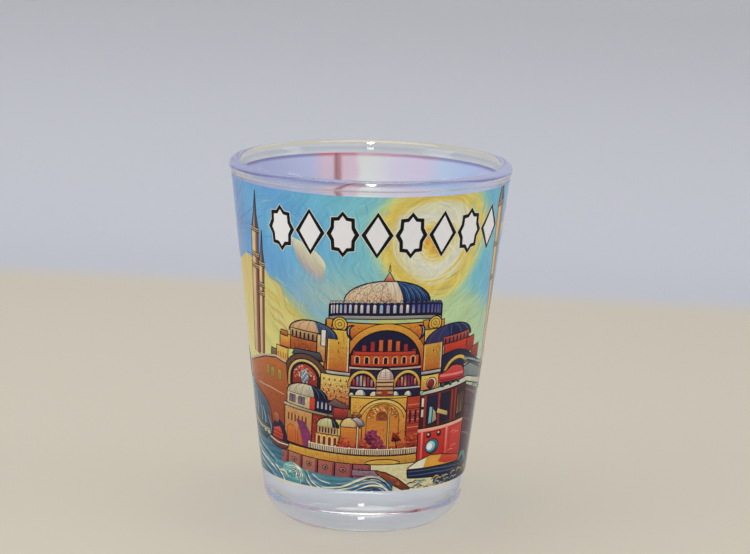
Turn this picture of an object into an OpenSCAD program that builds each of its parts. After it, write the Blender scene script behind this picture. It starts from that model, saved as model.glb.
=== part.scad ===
// A tapered glass tumbler for one short drink, with a thick clear foot and a printed band round its wall.
// Millimetres. +Z is up, the glass stands on z = 0, and -Y is the front of the printed band.

/* [Glass] */
// Outside diameter of the rounded lip, the widest place.
rim_d = 48; // [46:0.5:54]
// Height from the table to the top of the lip.
glass_h = 61.5; // [56:0.5:70]
// Diameter that the straight outer wall would have at the table, before the heel is rounded.
foot_d = 33.2; // [30:0.1:38]
// Thickness of the lip, which is fully round.
lip_t = 2.1; // [1.6:0.1:3]
// How far the lip stands out beyond the wall below it.
lip_bead = 0.26; // [0.1:0.02:0.4]
// Radius of the hollow curve that joins the wall to the lip.
cove_r = 2.6; // [2:0.2:3]
// Height at which the wall meets the foot, which curves in to the heel.
foot_z = 4.1; // [3.2:0.1:4.6]
// How sharply the foot turns in there, in degrees.
foot_turn = 9; // [0:0.5:10]
// Radius of the curve of the foot.
foot_r = 7; // [6.5:0.5:14]
// Radius of the rounded heel at the table.
heel_r = 1.2; // [0.8:0.1:1.6]

/* [Bowl] */
// Height of the bowl's floor, which is the thickness of the clear foot in the middle.
floor_z = 11.5; // [9:0.5:16]
// Thickness of the wall where it meets the floor of the bowl.
floor_wall = 2.9; // [2.2:0.1:4]
// Radius of the curve between the bowl's wall and its floor.
bowl_r = 5; // [3:0.5:8]

/* [Underside] */
// Radius of the shallow dish under the foot, so that the glass stands on a ring.
dish_r = 12.4; // [9:0.2:13]
// Depth of that dish in the middle.
dish_d = 0.9; // [0.4:0.1:1.6]

/* [Printing] */
// Height of the lower edge of the printed band.
print_z0 = 8.3; // [6:0.1:12]
// Height of the upper edge of the printed band, below the curve of the lip.
print_z1 = 59; // [45:0.5:59]
// Thickness of the white ink that lies on the glass.
white_t = 0.05; // [0.03:0.01:0.1]
// Thickness of the colour ink that lies on the white.
colour_t = 0.09; // [0.06:0.01:0.12]
// Width of the gap where the two ends of the band meet.
seam_w = 0.06; // [0.05:0.01:0.5]
// Direction of that gap, turned from the middle of the back towards the left of the glass.
seam_turn = 15; // [-45:5:45]

/* [Ornaments] */
// Height on the wall of the middle of the ornament row.
row_z = 52.6; // [46:0.1:53]
// Angle between one ornament and the next.
row_step = 14.2; // [14:0.1:18]
// Direction that the middle of the row faces, to the right of the front.
row_turn = 10.5; // [-20:0.5:20]
// Overall height of an ornament with its outline.
orn_h = 7.8; // [6:0.1:8.6]
// Overall width of a star, the wider ornament.
orn_w = 5.5; // [4:0.1:5.6]
// Width of the dark outline.
line_w = 0.8; // [0.3:0.05:1]
// How deep the notches between a star's points come, as a share of its size.
star_notch = 0.8; // [0.6:0.02:0.9]
// Width of a lozenge as a share of a star's width.
lozenge_part = 0.96; // [0.6:0.02:1]

/* [Hidden] */
$fn = 180;
ornaments = 8;
lip_r = lip_t / 2;
lip_z = glass_h - lip_r;
lip_x = rim_d / 2 - lip_r;
// The straight outer wall, and its lean from the vertical.
lean = atan((rim_d / 2 - lip_bead - foot_d / 2) / lip_z);
function wall_x(z) = foot_d / 2 + z * tan(lean);
// The foot's curve starts at foot_z on the wall and ends at end_a, below the level of its centre.
start_a = lean + foot_turn;
foot_x = wall_x(foot_z) - foot_r * cos(start_a);
foot_cz = foot_z + foot_r * sin(start_a);
end_a = asin((foot_cz - heel_r) / (foot_r - heel_r));
// The heel's circle touches that curve from inside, and the table.
heel_x = foot_x + (foot_r - heel_r) * cos(end_a);
// The cove's circle touches the outer wall and the lip's circle.
cove_off = (lip_r - lip_bead) * cos(lean);
cove_run = sqrt(pow(lip_r + cove_r, 2) - pow(cove_off + cove_r, 2));
cove_x = lip_x + (cove_off + cove_r) * cos(lean) - cove_run * sin(lean);
cove_z = lip_z - (cove_off + cove_r) * sin(lean) - cove_run * cos(lean);
// The bowl's wall runs from the floor's edge to touch the inside of the lip's circle.
edge_x = wall_x(floor_z) - floor_wall / cos(lean);
bowl_lean = atan((lip_x - edge_x) / (lip_z - floor_z))
    - asin(lip_r / norm([lip_x - edge_x, lip_z - floor_z]));
bowl_x = edge_x + bowl_r * tan(bowl_lean) - bowl_r / cos(bowl_lean);
// The dish is a slice of a large ball.
dish_ball = (pow(dish_r, 2) + pow(dish_d, 2)) / (2 * dish_d);

// Sub-part to draw.

// The outline of the solid glass: heel, curved foot, leaning wall, cove and round lip.
module glass_profile() {
    polygon([
        [0, 0], [heel_x, 0], [heel_x, heel_r],
        [heel_x + heel_r * cos(end_a), heel_r - heel_r * sin(end_a)],
        [wall_x(foot_z), foot_z],
        [wall_x(lip_z - cove_run), lip_z - cove_run],
        [lip_x, lip_z], [lip_x, glass_h], [0, glass_h]
    ]);
    translate([heel_x, heel_r]) circle(heel_r);
    intersection() {
        translate([foot_x, foot_cz]) circle(foot_r);
        polygon([
            [heel_x, heel_r],
            [foot_x + (foot_r + 2) * cos(end_a), foot_cz - (foot_r + 2) * sin(end_a)],
            [foot_x + (foot_r + 2) * cos(start_a), foot_cz - (foot_r + 2) * sin(start_a)],
            [foot_x + (foot_r - 3) * cos(start_a), foot_cz - (foot_r - 3) * sin(start_a)]
        ]);
    }
    translate([lip_x, lip_z]) circle(lip_r);
    difference() {
        polygon([
            [cove_x - cove_r * cos(lean), cove_z + cove_r * sin(lean)],
            [lip_x + lip_r * (cove_x - lip_x) / (lip_r + cove_r),
             lip_z + lip_r * (cove_z - lip_z) / (lip_r + cove_r)],
            [lip_x, lip_z]
        ]);
        translate([cove_x, cove_z]) circle(cove_r);
    }
}

// The hollow that is drunk from, with a rounded edge to its floor.
module bowl_profile() {
    polygon([
        [0, floor_z], [bowl_x, floor_z], [bowl_x, floor_z + bowl_r],
        [bowl_x + bowl_r * cos(bowl_lean), floor_z + bowl_r - bowl_r * sin(bowl_lean)],
        [lip_x - lip_r * cos(bowl_lean), lip_z + lip_r * sin(bowl_lean)],
        [lip_x, glass_h + 1], [0, glass_h + 1]
    ]);
    translate([bowl_x, floor_z + bowl_r]) circle(bowl_r);
}

module glass_body() {
    color([0.86, 0.91, 0.92, 0.4]) difference() {
        rotate_extrude() difference() {
            glass_profile();
            difference() {
                bowl_profile();
                translate([lip_x, lip_z]) circle(lip_r);
            }
        }
        translate([0, 0, dish_d - dish_ball]) sphere(dish_ball);
    }
}

// A thin coat on the leaning wall, from one distance off the glass to another.
module coat(inner, outer, z0 = print_z0, z1 = print_z1) {
    rotate_extrude() polygon([
        [wall_x(z0) + inner, z0], [wall_x(z0) + outer, z0],
        [wall_x(z1) + outer, z1], [wall_x(z1) + inner, z1]
    ]);
}

// A star with a number of points; with two points it is a lozenge.
module star(points, w, h, notch) {
    polygon([for (k = [0 : 2 * points - 1])
        let (a = 90 + 180 * k / points, s = k % 2 == 0 ? 1 : notch)
            [w / 2 * s * cos(a), h / 2 * s * sin(a)]]);
}

// The row of ornaments as short rods that point out through the wall, each trimmed by a margin.
module ornament_rods(trim) {
    for (i = [0 : ornaments - 1])
        rotate([0, 0, row_turn + (i - (ornaments - 1) / 2) * row_step])
            translate([0, 1.5 - wall_x(row_z), row_z]) rotate([90, 0, 0]) linear_extrude(3)
                if (i % 2 == 0) star(8, orn_w - trim, orn_h - trim, star_notch);
                else star(2, orn_w - trim, orn_h - trim, lozenge_part);
}

module seam_cut() {
    rotate([0, 0, seam_turn]) translate([-seam_w / 2, 0, 0]) cube([seam_w, rim_d, glass_h]);
}

// Translucent white ink laid on the glass first, so that the colours stay bright.
module white_undercoat() {
    color([0.95, 0.95, 0.94]) difference() {
        coat(0, white_t);
        seam_cut();
    }
}

// The picture's colour ink, with room left for the ornaments.
module print_wrap() {
    color([0.86, 0.55, 0.25]) difference() {
        coat(white_t, white_t + colour_t);
        ornament_rods(0);
        seam_cut();
    }
}

module ornament_outline() {
    color([0.06, 0.06, 0.07]) difference() {
        intersection() {
            coat(white_t, white_t + colour_t);
            ornament_rods(0);
        }
        ornament_rods(2 * line_w);
    }
}

module ornament_fill() {
    color([0.97, 0.97, 0.95]) intersection() {
        coat(white_t, white_t + colour_t);
        ornament_rods(2 * line_w);
    }
}

glass_body();
white_undercoat();
print_wrap();
ornament_outline();
ornament_fill();
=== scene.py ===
# %% [markdown]
# # A small printed glass
# A drinking glass for one short drink: clear pressed glass with a thick foot, and a picture
# printed in colour ink round its wall. The glass is spun from one outline. The picture is
# drawn flat, in millimetres, as a printer draws artwork, and then wrapped round the wall.

# %% Load the fixed frame
import math
import random

import bmesh
import bpy
import numpy as np
from mathutils import Matrix, Vector


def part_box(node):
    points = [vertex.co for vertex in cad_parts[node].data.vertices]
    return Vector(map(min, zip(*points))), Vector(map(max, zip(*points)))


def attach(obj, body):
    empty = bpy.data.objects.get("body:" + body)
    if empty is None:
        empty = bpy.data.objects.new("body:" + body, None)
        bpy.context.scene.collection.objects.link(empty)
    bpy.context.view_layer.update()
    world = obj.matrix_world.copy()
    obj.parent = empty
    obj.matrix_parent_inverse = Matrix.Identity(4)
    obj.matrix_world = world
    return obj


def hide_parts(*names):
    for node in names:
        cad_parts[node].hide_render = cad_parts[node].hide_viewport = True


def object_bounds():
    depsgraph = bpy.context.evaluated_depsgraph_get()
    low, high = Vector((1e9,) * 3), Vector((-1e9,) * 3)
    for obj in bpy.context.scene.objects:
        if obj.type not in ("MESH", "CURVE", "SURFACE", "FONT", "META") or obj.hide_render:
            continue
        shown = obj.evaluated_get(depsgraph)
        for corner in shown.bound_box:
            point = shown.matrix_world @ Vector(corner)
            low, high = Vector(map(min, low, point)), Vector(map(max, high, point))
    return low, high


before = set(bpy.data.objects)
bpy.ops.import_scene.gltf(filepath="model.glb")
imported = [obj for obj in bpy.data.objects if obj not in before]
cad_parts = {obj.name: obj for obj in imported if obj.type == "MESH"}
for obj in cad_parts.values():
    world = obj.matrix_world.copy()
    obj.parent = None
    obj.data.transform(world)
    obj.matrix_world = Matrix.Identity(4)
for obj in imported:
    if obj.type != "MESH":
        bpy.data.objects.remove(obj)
cad_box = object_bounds()
MM = 0.001
print("frame is", [round(side / MM, 1) for side in cad_box[1] - cad_box[0]], "mm")

# %% [markdown]
# The frame gives the sizes. The printed band is a slice of a cone, so the rings at its two
# edges say how wide the wall is at any height. The white undercoat's smallest ring is the
# bare glass, and the colour coat's largest ring is the outside of the ink.

# %% Measure the wall
def rings_at(node, height):
    """Smallest and largest radius of a CAD node's points near one height, in millimetres."""
    near = [v.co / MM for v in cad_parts[node].data.vertices]
    radii = [math.hypot(co.x, co.y) for co in near if abs(co.z - height) < 0.05]
    return min(radii), max(radii)


rim_r = cad_box[1].x / MM
glass_h = cad_box[1].z / MM
band_z0, band_z1 = (corner.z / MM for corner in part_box("print_wrap"))
glass_r0 = rings_at("white_undercoat", band_z0)[0]
glass_r1 = rings_at("white_undercoat", band_z1)[0]
ink_t = rings_at("print_wrap", band_z0)[1] - glass_r0
slope = (glass_r1 - glass_r0) / (band_z1 - band_z0)
lean = math.atan(slope)


def wall_r(height):
    """Radius of the bare glass wall at one height, in millimetres."""
    return glass_r0 + slope * (height - band_z0)


print(f"wall leans {math.degrees(lean):.2f} degrees, the ink is {ink_t:.2f} mm thick")
print(f"printed band from {band_z0:.1f} to {band_z1:.1f} mm, rim {2 * rim_r:.1f} mm across")

# %% [markdown]
# The camera stands a little above the glass and looks down into its mouth through a long
# lens, so the sides hardly converge. It is not held quite level. Three directions make its
# matrix: to its right, up, and back away from what it looks at.

# %% Camera
EYE_AWAY, EYE_UP, LENS = 449.6, 131.3, 128.9
LOOK_DOWN, LOOK_ASIDE, TILT = (math.radians(angle) for angle in (11.33, 0.15, 1.53))

eye = bpy.data.objects.new("eye", bpy.data.cameras.new("eye"))
bpy.context.collection.objects.link(eye)
eye.data.lens = LENS
ahead = Vector((math.sin(LOOK_ASIDE) * math.cos(LOOK_DOWN),
                math.cos(LOOK_ASIDE) * math.cos(LOOK_DOWN), -math.sin(LOOK_DOWN)))
level = Vector((math.cos(LOOK_ASIDE), -math.sin(LOOK_ASIDE), 0))
right = level * math.cos(TILT) + level.cross(ahead) * math.sin(TILT)
eye.matrix_world = Matrix((right, right.cross(ahead), -ahead)).transposed().to_4x4()
eye.location = (0, -EYE_AWAY * MM, EYE_UP * MM)
bpy.context.scene.camera = eye
print("camera is", round(eye.location.length / MM), "mm from the foot")

# %% [markdown]
# Colours are written as a painter's hex values. Blender's shaders want linear light, so one
# function turns them. A second small function adds a node: `settings` are the node's own
# choices, `values` fill its sockets, and `links` wire other nodes' outputs into them. The
# `stops` are the places from 0 to 1, and the colours, of a node that grades between colours.

# %% Colour and node helpers
def linear(hex_colour):
    """A hex colour such as '#F2C230' as linear red, green, blue and alpha."""
    parts = [int(hex_colour[i:i + 2], 16) / 255 for i in (1, 3, 5)]
    return [c / 12.92 if c <= 0.04045 else ((c + 0.055) / 1.055) ** 2.4 for c in parts] + [1.0]


def add(tree, kind, links=None, values=None, stops=(), **settings):
    """Adds one shader node with its settings, socket values, links and colour stops."""
    made = tree.nodes.new("ShaderNode" + kind)
    for name, value in settings.items():
        setattr(made, name, value)
    for socket, value in (values or {}).items():
        made.inputs[socket].default_value = value
    for socket, source in (links or {}).items():
        tree.links.new(source, made.inputs[socket])
    for _ in stops[2:]:
        made.color_ramp.elements.new(0.5)
    for k, (place, colour) in enumerate(stops):
        made.color_ramp.elements[k].position = place
        made.color_ramp.elements[k].color = linear(colour)
    return made


def new_material(name):
    """An empty node material and its tree, with the output node ready."""
    made = bpy.data.materials.new(name)
    made.use_nodes = True
    made.node_tree.nodes.clear()
    return made, made.node_tree, made.node_tree.nodes.new("ShaderNodeOutputMaterial")


def mesh_object(name, bm, material):
    """Turns a finished bmesh into a smooth-shaded object that sits at the origin."""
    mesh = bpy.data.meshes.new(name)
    bm.to_mesh(mesh)
    bm.free()
    mesh.shade_smooth()
    mesh.materials.append(material)
    made = bpy.data.objects.new(name, mesh)
    bpy.context.collection.objects.link(made)
    return made


print("lip white in linear light:", [round(c, 2) for c in linear("#F4F4F0")[:3]])

# %% [markdown]
# The studio is one plain sheet of card: a cream table that turns up into a pale grey wall
# far behind the glass. One sheet, swept from a line of points, leaves no corner, so the
# glass shows no hard seam through its foot. The table's far edge isn't quite square on.

# %% Floor and backdrop
TABLE_EDGE, SWEEP_R, WALL_TOP = 190, 60, 620
SHEET_TURN = math.radians(-7.6)

card, tree, out = new_material("cream_and_grey_card")
place = add(tree, "TexCoord").outputs["Object"]
depth = add(tree, "SeparateXYZ", {0: place}).outputs["Y"]
across = add(tree, "MapRange", {"Value": depth}, {
    "From Min": (TABLE_EDGE - 12) * MM, "From Max": (TABLE_EDGE + 12) * MM},
    interpolation_type="SMOOTHSTEP").outputs["Result"]
card_tone = add(tree, "ValToRGB", {0: across}, stops=[(0, "#CDC3B0"), (1, "#C3C4CA")]).outputs[0]
tooth = add(tree, "TexNoise", {"Vector": place}, {"Scale": 1 / (2 * MM), "Detail": 3})
mottled = add(tree, "MixRGB", {1: card_tone, 2: tooth.outputs["Color"]}, {0: 0.02},
              blend_type="OVERLAY").outputs["Color"]
shade = add(tree, "BsdfPrincipled", {"Base Color": mottled}, {"Roughness": 0.85})
tree.links.new(shade.outputs[0], out.inputs["Surface"])

bm = bmesh.new()
line = [(-700, 0), (-100, 0), (TABLE_EDGE, 0)]
line += [(TABLE_EDGE + 20 + SWEEP_R * math.sin(a), SWEEP_R * (1 - math.cos(a)))
         for a in (math.radians(9 * k) for k in range(11))]
line.append((line[-1][0], WALL_TOP))
rail = [bm.verts.new((-900 * MM, y * MM, z * MM)) for y, z in line]
edges = [bm.edges.new(pair) for pair in zip(rail, rail[1:])]
swept = bmesh.ops.extrude_edge_only(bm, edges=edges)["geom"]
bmesh.ops.translate(bm, vec=(1800 * MM, 0, 0),
                    verts=[v for v in swept if isinstance(v, bmesh.types.BMVert)])
bmesh.ops.recalc_face_normals(bm, faces=bm.faces)
studio_sheet = mesh_object("studio_sheet", bm, card)
studio_sheet.rotation_euler.z = SHEET_TURN
print("table edge is", TABLE_EDGE, "mm behind the glass")

# %% [markdown]
# Soft studio light: a large panel overhead and a little behind, a weaker one from the left
# front and a small one from the right, in a pale room. A glass shows what is round it, so
# the panels' places decide where its rim and heel catch the light. A tall narrow lamp in
# front puts one crisp glint on the far lip and one on the near lip.

# %% Lights and room
def light_panel(name, place, aim, size, watts, shine=True, fill=True):
    """A soft light at one place, in millimetres, turned towards another.

    Without `shine` the panel lights things but isn't mirrored in them; without `fill` it is
    only mirrored."""
    lamp = bpy.data.lights.new(name, "AREA")
    lamp.shape, lamp.size, lamp.size_y = "RECTANGLE", size[0] * MM, size[1] * MM
    lamp.energy = watts
    made = bpy.data.objects.new(name, lamp)
    bpy.context.collection.objects.link(made)
    made.location = Vector(place) * MM
    away = Vector(place) - Vector(aim)
    made.rotation_euler = away.to_track_quat("Z", "Y").to_euler()
    made.visible_glossy, made.visible_diffuse = shine, fill


light_panel("top_panel", (-60, 60, 620), (0, 0, 30), (520, 420), 1.55)
light_panel("left_panel", (-560, -260, 330), (0, 0, 30), (300, 360), 0.8, shine=False)
light_panel("right_panel", (520, -120, 260), (0, 0, 30), (160, 320), 0.35, shine=False)
light_panel("glint_lamp", (8, -360, 560), (0, 0, 55), (56, 420), 6.0, fill=False)

room = bpy.data.worlds.new("pale_room")
bpy.context.scene.world = room
room.use_nodes = True
tree = room.node_tree
tree.nodes["Background"].inputs["Color"].default_value = linear("#DDE0E6")
tree.nodes["Background"].inputs["Strength"].default_value = 0.78
bpy.context.scene.view_settings.view_transform = "Standard"
print("three panels, a narrow lamp and a pale room")

# %% [markdown]
# The glass is soda-lime glass, pressed in a mould and fire polished. Its outline is half of
# its section: from the middle of the dished underside, round the heel, up the leaning wall,
# over the bead of the lip, down the bowl and across its floor. The round stretches are arcs
# that touch the straight ones. Spinning that line makes the whole solid in one operator.

# %% The outline of the glass
LIP_R, BEAD, COVE_R = 1.05, 0.26, 2.6
FOOT_Z, FOOT_TURN, FOOT_R, HEEL_R = 4.1, math.radians(9), 7.0, 1.2
FLOOR_Z, FLOOR_WALL, BOWL_R = 11.5, 2.9, 5.0
DISH_R, DISH_D = 12.4, 0.9


def arc(centre, radius, start, end, steps):
    """Points of an arc; angles in degrees, 0 to the right and 90 up."""
    return [(centre[0] + radius * math.cos(math.radians(start + (end - start) * k / steps)),
             centre[1] + radius * math.sin(math.radians(start + (end - start) * k / steps)))
            for k in range(steps + 1)]


tip = math.degrees(lean)
# The wall meets the foot in a faint ridge. The foot curves in on a wide arc to the tight heel.
start = lean + FOOT_TURN
foot = (wall_r(FOOT_Z) - FOOT_R * math.cos(start), FOOT_Z + FOOT_R * math.sin(start))
end = math.asin((foot[1] - HEEL_R) / (FOOT_R - HEEL_R))
heel = (foot[0] + (FOOT_R - HEEL_R) * math.cos(end), HEEL_R)
lip = (rim_r - LIP_R, glass_h - LIP_R)
# The cove is a hollow arc that touches both the wall and the lip's bead.
reach = (LIP_R - BEAD) * math.cos(lean) + COVE_R
run = math.sqrt((LIP_R + COVE_R) ** 2 - reach ** 2)
cove = (lip[0] + reach * math.cos(lean) - run * math.sin(lean),
        lip[1] - reach * math.sin(lean) - run * math.cos(lean))
to_lip = math.degrees(math.atan2(lip[1] - cove[1], lip[0] - cove[0]))
# The bowl's wall runs from the edge of its floor to touch the inside of the lip.
edge_x = wall_r(FLOOR_Z) - FLOOR_WALL / math.cos(lean)
gap = Vector((lip[0] - edge_x, lip[1] - FLOOR_Z))
bowl_tip = math.degrees(math.atan2(gap.x, gap.y) - math.asin(LIP_R / gap.length))
bowl_lean = math.radians(bowl_tip)
bowl = (edge_x + BOWL_R * math.tan(bowl_lean) - BOWL_R / math.cos(bowl_lean), FLOOR_Z + BOWL_R)
ball_r = (DISH_R ** 2 + DISH_D ** 2) / (2 * DISH_D)
dish_half = math.degrees(math.asin(DISH_R / ball_r))

outline = arc((0, DISH_D - ball_r), ball_r, 90, 90 - dish_half, 10)
outline += arc(heel, HEEL_R, -90, -math.degrees(end), 10)
outline += arc(foot, FOOT_R, -math.degrees(end), -math.degrees(start), 12)[1:]
outline += [(wall_r(z), z) for z in range(9, 58, 6)]
outline += arc(cove, COVE_R, 180 - tip, to_lip, 5)[:-1]
outline += arc(lip, LIP_R, to_lip - 180, 180 - bowl_tip, 24)
outline += arc(bowl, BOWL_R, -bowl_tip, -90, 14)
outline.append((0, FLOOR_Z))
outline[0] = (0, DISH_D)
print(f"outline of {len(outline)} points, floor of the bowl {2 * bowl[0]:.1f} mm across")

# %% [markdown]
# Clear glass bends light by an index of 1.5. Pressed glass is never quite flat: the mould
# and the polishing flame leave a slow waviness a few millimetres long, which is what makes
# reflections wander. Rays that carry light to the table and the ink pass straight through,
# because a path tracer is slow to find light that glass has bent; they lose a little each
# time, so the glass throws a faint soft shadow.

# %% Clear glass
clear, tree, out = new_material("pressed_soda_lime_glass")
place = add(tree, "TexCoord").outputs["Object"]
# Waves about 7 mm long, a few hundredths of a millimetre deep.
waves = add(tree, "TexNoise", {"Vector": place}, {"Scale": 1 / (7 * MM), "Detail": 1})
wavy = add(tree, "Bump", {"Height": waves.outputs["Fac"]}, {"Strength": 0.12, "Distance": 0.05 * MM})
# A trace of iron gives long paths through the foot a cold tint, in faint cords.
cords = add(tree, "ValToRGB", {0: waves.outputs["Fac"]},
            stops=[(0.3, "#F4F8F8"), (0.7, "#FCFEFD")]).outputs["Color"]
body = add(tree, "BsdfPrincipled", {"Base Color": cords, "Normal": wavy.outputs[0]},
           {"Roughness": 0.0, "IOR": 1.5, "Transmission Weight": 1.0})
passing = add(tree, "BsdfTransparent", values={"Color": linear("#F7F9FA")})
ray = add(tree, "LightPath").outputs
which = add(tree, "Math", {0: ray["Is Shadow Ray"], 1: ray["Is Diffuse Ray"]}, operation="MAXIMUM")
either = add(tree, "MixShader", {0: which.outputs[0], 1: body.outputs[0], 2: passing.outputs[0]})
tree.links.new(either.outputs[0], out.inputs["Surface"])

bm = bmesh.new()
points = [bm.verts.new((r * MM, 0, z * MM)) for r, z in outline]
edges = [bm.edges.new(pair) for pair in zip(points, points[1:])]
TURN_STEPS = 180
bmesh.ops.spin(bm, geom=points + edges, cent=(0, 0, 0), axis=(0, 0, 1), angle=2 * math.pi,
               steps=TURN_STEPS, use_merge=True)
bmesh.ops.remove_doubles(bm, verts=bm.verts, dist=0.001 * MM)
bmesh.ops.recalc_face_normals(bm, faces=bm.faces)
tumbler = mesh_object("tumbler", bm, clear)
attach(tumbler, "root")
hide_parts("glass_body")
print("tumbler has", len(tumbler.data.polygons), "faces")

# %% [markdown]
# Before the colours, the printer lays a coat of white. It is thin enough to let some of the
# picture through; the pale lilac, rose and blue that this light gives the inside of the far
# wall are painted into the coat's colour. Its inner face is set a hair inside the glass: the
# ink touches the glass, so nothing is left between them for light to bounce back from.

# %% White undercoat
SEAM_W = 0.06
SEAM_TURN = math.radians(-165)
WHITE_IN, WHITE_OUT = -0.01, 0.05
# The dark edge starts and ends this far below the top of the band, in millimetres.
EDGE_FROM, EDGE_TO = 0.7, 0.3
# Half the red line's width, as a turn round the glass in radians: its soft edge and its core.
LINE_SOFT, LINE_CORE = 0.05, 0.015
LET_THROUGH = 0.35

white, tree, out = new_material("translucent_white_ink")
place = add(tree, "TexCoord").outputs["Object"]
split = add(tree, "SeparateXYZ", {0: place})
# The turn round the glass from the middle of the back, positive to the right of the glass.
turn = add(tree, "Math", {0: split.outputs["X"], 1: split.outputs["Y"]}, operation="ARCTAN2")
wash = add(tree, "TexNoise", {"Vector": place}, {"Scale": 1 / (9 * MM), "Detail": 2})
drift = add(tree, "Math", {0: wash.outputs["Fac"]}, {1: 0.16}, operation="MULTIPLY")
moved = add(tree, "Math", {0: turn.outputs[0], 1: drift.outputs[0]}, operation="ADD")
spread = add(tree, "MapRange", {"Value": moved.outputs[0]}, {"From Min": -1.0, "From Max": 1.5})
# Painted light: the colours of light shining in through the picture, painted pale onto the white coat.
painted_show_through = add(tree, "ValToRGB", {0: spread.outputs["Result"]}, stops=[
    (0.0, "#D3D5F2"), (0.24, "#D9DAF4"), (0.29, "#F4D9E4"), (0.385, "#F2D2DC"), (0.40, "#F6F1E8"),
    (0.45, "#F4EFEA"), (0.50, "#F2E4F0"), (0.62, "#F1E2F2"), (0.68, "#D9E8FA"), (0.80, "#D2E0FA"),
    (0.90, "#DADCF6"), (1.0, "#DCDAF2")]).outputs["Color"]
# Red ink shows at the seam, where the film's two ends meet, and a dark edge along the top.
from_seam = add(tree, "Math", {0: turn.outputs[0]}, {1: SEAM_TURN + math.pi}, operation="ADD")
near_seam = add(tree, "Math", {0: from_seam.outputs[0]}, operation="ABSOLUTE")
line = add(tree, "MapRange", {"Value": near_seam.outputs[0]}, {
    "From Min": LINE_SOFT, "From Max": LINE_CORE}, interpolation_type="SMOOTHSTEP")
seamed = add(tree, "MixRGB", {0: line.outputs["Result"], 1: painted_show_through}, {2: linear("#D9969C")})
edge = add(tree, "MapRange", {"Value": split.outputs["Z"]}, {
    "From Min": (band_z1 - EDGE_FROM) * MM, "From Max": (band_z1 - EDGE_TO) * MM})
rim_ink = add(tree, "ValToRGB", {0: spread.outputs["Result"]}, stops=[
    (0.24, "#9C98C8"), (0.29, "#E0708A"), (0.385, "#DE7C92"), (0.40, "#E2B4C0"), (0.46, "#E09AAC"),
    (0.60, "#C894B8"), (0.70, "#9FA0D2"), (1.0, "#9C98C8")])
edged = add(tree, "MixRGB", {0: edge.outputs["Result"], 1: seamed.outputs[0], 2: rim_ink.outputs[0]})
fine = add(tree, "TexNoise", {"Vector": place}, {"Scale": 1 / (0.6 * MM), "Detail": 3})
milky = add(tree, "MixRGB", {1: edged.outputs[0], 2: fine.outputs["Color"]}, {0: 0.05},
            blend_type="SOFT_LIGHT").outputs[0]
# A third of the light that falls on the picture comes through this coat to the inside.
front = add(tree, "BsdfPrincipled", {"Base Color": milky}, {"Roughness": 0.4})
behind = add(tree, "BsdfTranslucent", {"Color": milky})
body = add(tree, "MixShader", {1: front.outputs[0], 2: behind.outputs[0]}, {0: LET_THROUGH})
tree.links.new(body.outputs[0], out.inputs["Surface"])


def band_shell(name, inner, outer, material):
    """A thin closed coat round the wall, with a hairline gap where its ends meet."""
    bm = bmesh.new()
    corners = [(band_z0, inner), (band_z0, outer), (band_z1, outer), (band_z1, inner)]
    loop = [bm.verts.new(((wall_r(z) + off) * MM, 0, z * MM)) for z, off in corners]
    ring = bm.faces.new(loop)
    half_gap = math.asin(SEAM_W / 2 / wall_r(band_z1))
    start = Matrix.Rotation(SEAM_TURN - math.pi / 2 + half_gap, 3, "Z")
    bmesh.ops.rotate(bm, verts=bm.verts, cent=(0, 0, 0), matrix=start)
    bmesh.ops.spin(bm, geom=[ring], cent=(0, 0, 0), axis=(0, 0, 1), steps=TURN_STEPS,
                   angle=2 * (math.pi - half_gap), use_merge=False)
    bmesh.ops.recalc_face_normals(bm, faces=bm.faces)
    return mesh_object(name, bm, material)


undercoat = band_shell("white_undercoat_ink", WHITE_IN, WHITE_OUT, white)
undercoat.visible_shadow = False
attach(undercoat, "root")
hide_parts("white_undercoat")
print("undercoat has", len(undercoat.data.polygons), "faces")

# %% [markdown]
# The picture is drawn flat first, as a printer's artwork is: x in millimetres along the
# band, with 0 at the front, and z in millimetres up from the table. It is built up like a
# paper collage, from the sky forwards. Each new area goes one sheet above whatever already
# lies under it, so no two areas share a plane. A coarse grid of squares remembers how many
# sheets lie on each spot.

# %% Drawing on the flat artwork
DRAWN_R = 20.7
# The film's two ends, which meet at the seam.
FIRST_X, LAST_X = (DRAWN_R * (SEAM_TURN + turn) + gap for turn, gap in ((0, SEAM_W / 2),
                                                                         (2 * math.pi, -SEAM_W / 2)))
SPOT, LONGEST = 0.05, 1.5
artwork = {}
# How many sheets lie on each spot of the band, with a margin past the film's ends.
MARGIN = 9
stacked = np.zeros((round((LAST_X - FIRST_X + 2 * MARGIN) / SPOT), round((band_z1 + MARGIN) / SPOT)), int)


def spots_under(patch):
    """The block of spots round one patch, and which of them the patch touches."""
    xs, zs = (np.array(side) for side in zip(*patch))
    i, j = (xs - FIRST_X + MARGIN) / SPOT, zs / SPOT
    block = tuple(slice(max(int(side.min()), 0), int(side.max()) + 1) for side in (i, j))
    if max(np.ptp(i), np.ptp(j)) < 9:
        return block, np.ones(stacked[block].shape, bool)
    across, up = np.ogrid[block]
    inside = np.zeros(stacked[block].shape, bool)
    for k in range(len(patch)):
        rising = (j[k - 1] > up) != (j[k] > up)
        if j[k] != j[k - 1]:
            inside ^= rising & (across < (i[k] - i[k - 1]) * (up - j[k - 1]) / (j[k] - j[k - 1]) + i[k - 1])
    wider = inside.copy()
    for axis in (0, 1):
        for step in (-1, 1):
            wider |= np.roll(wider, step, axis)
    return block, wider


def split_long(outline):
    """Adds points along long edges, so that they can bend with the film."""
    points = []
    for (x0, z0), (x1, z1) in zip(outline, outline[1:] + outline[:1]):
        parts = max(1, math.ceil(math.hypot(x1 - x0, z1 - z0) / LONGEST))
        points += [(x0 + (x1 - x0) * k / parts, z0 + (z1 - z0) * k / parts) for k in range(parts)]
    return points


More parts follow.
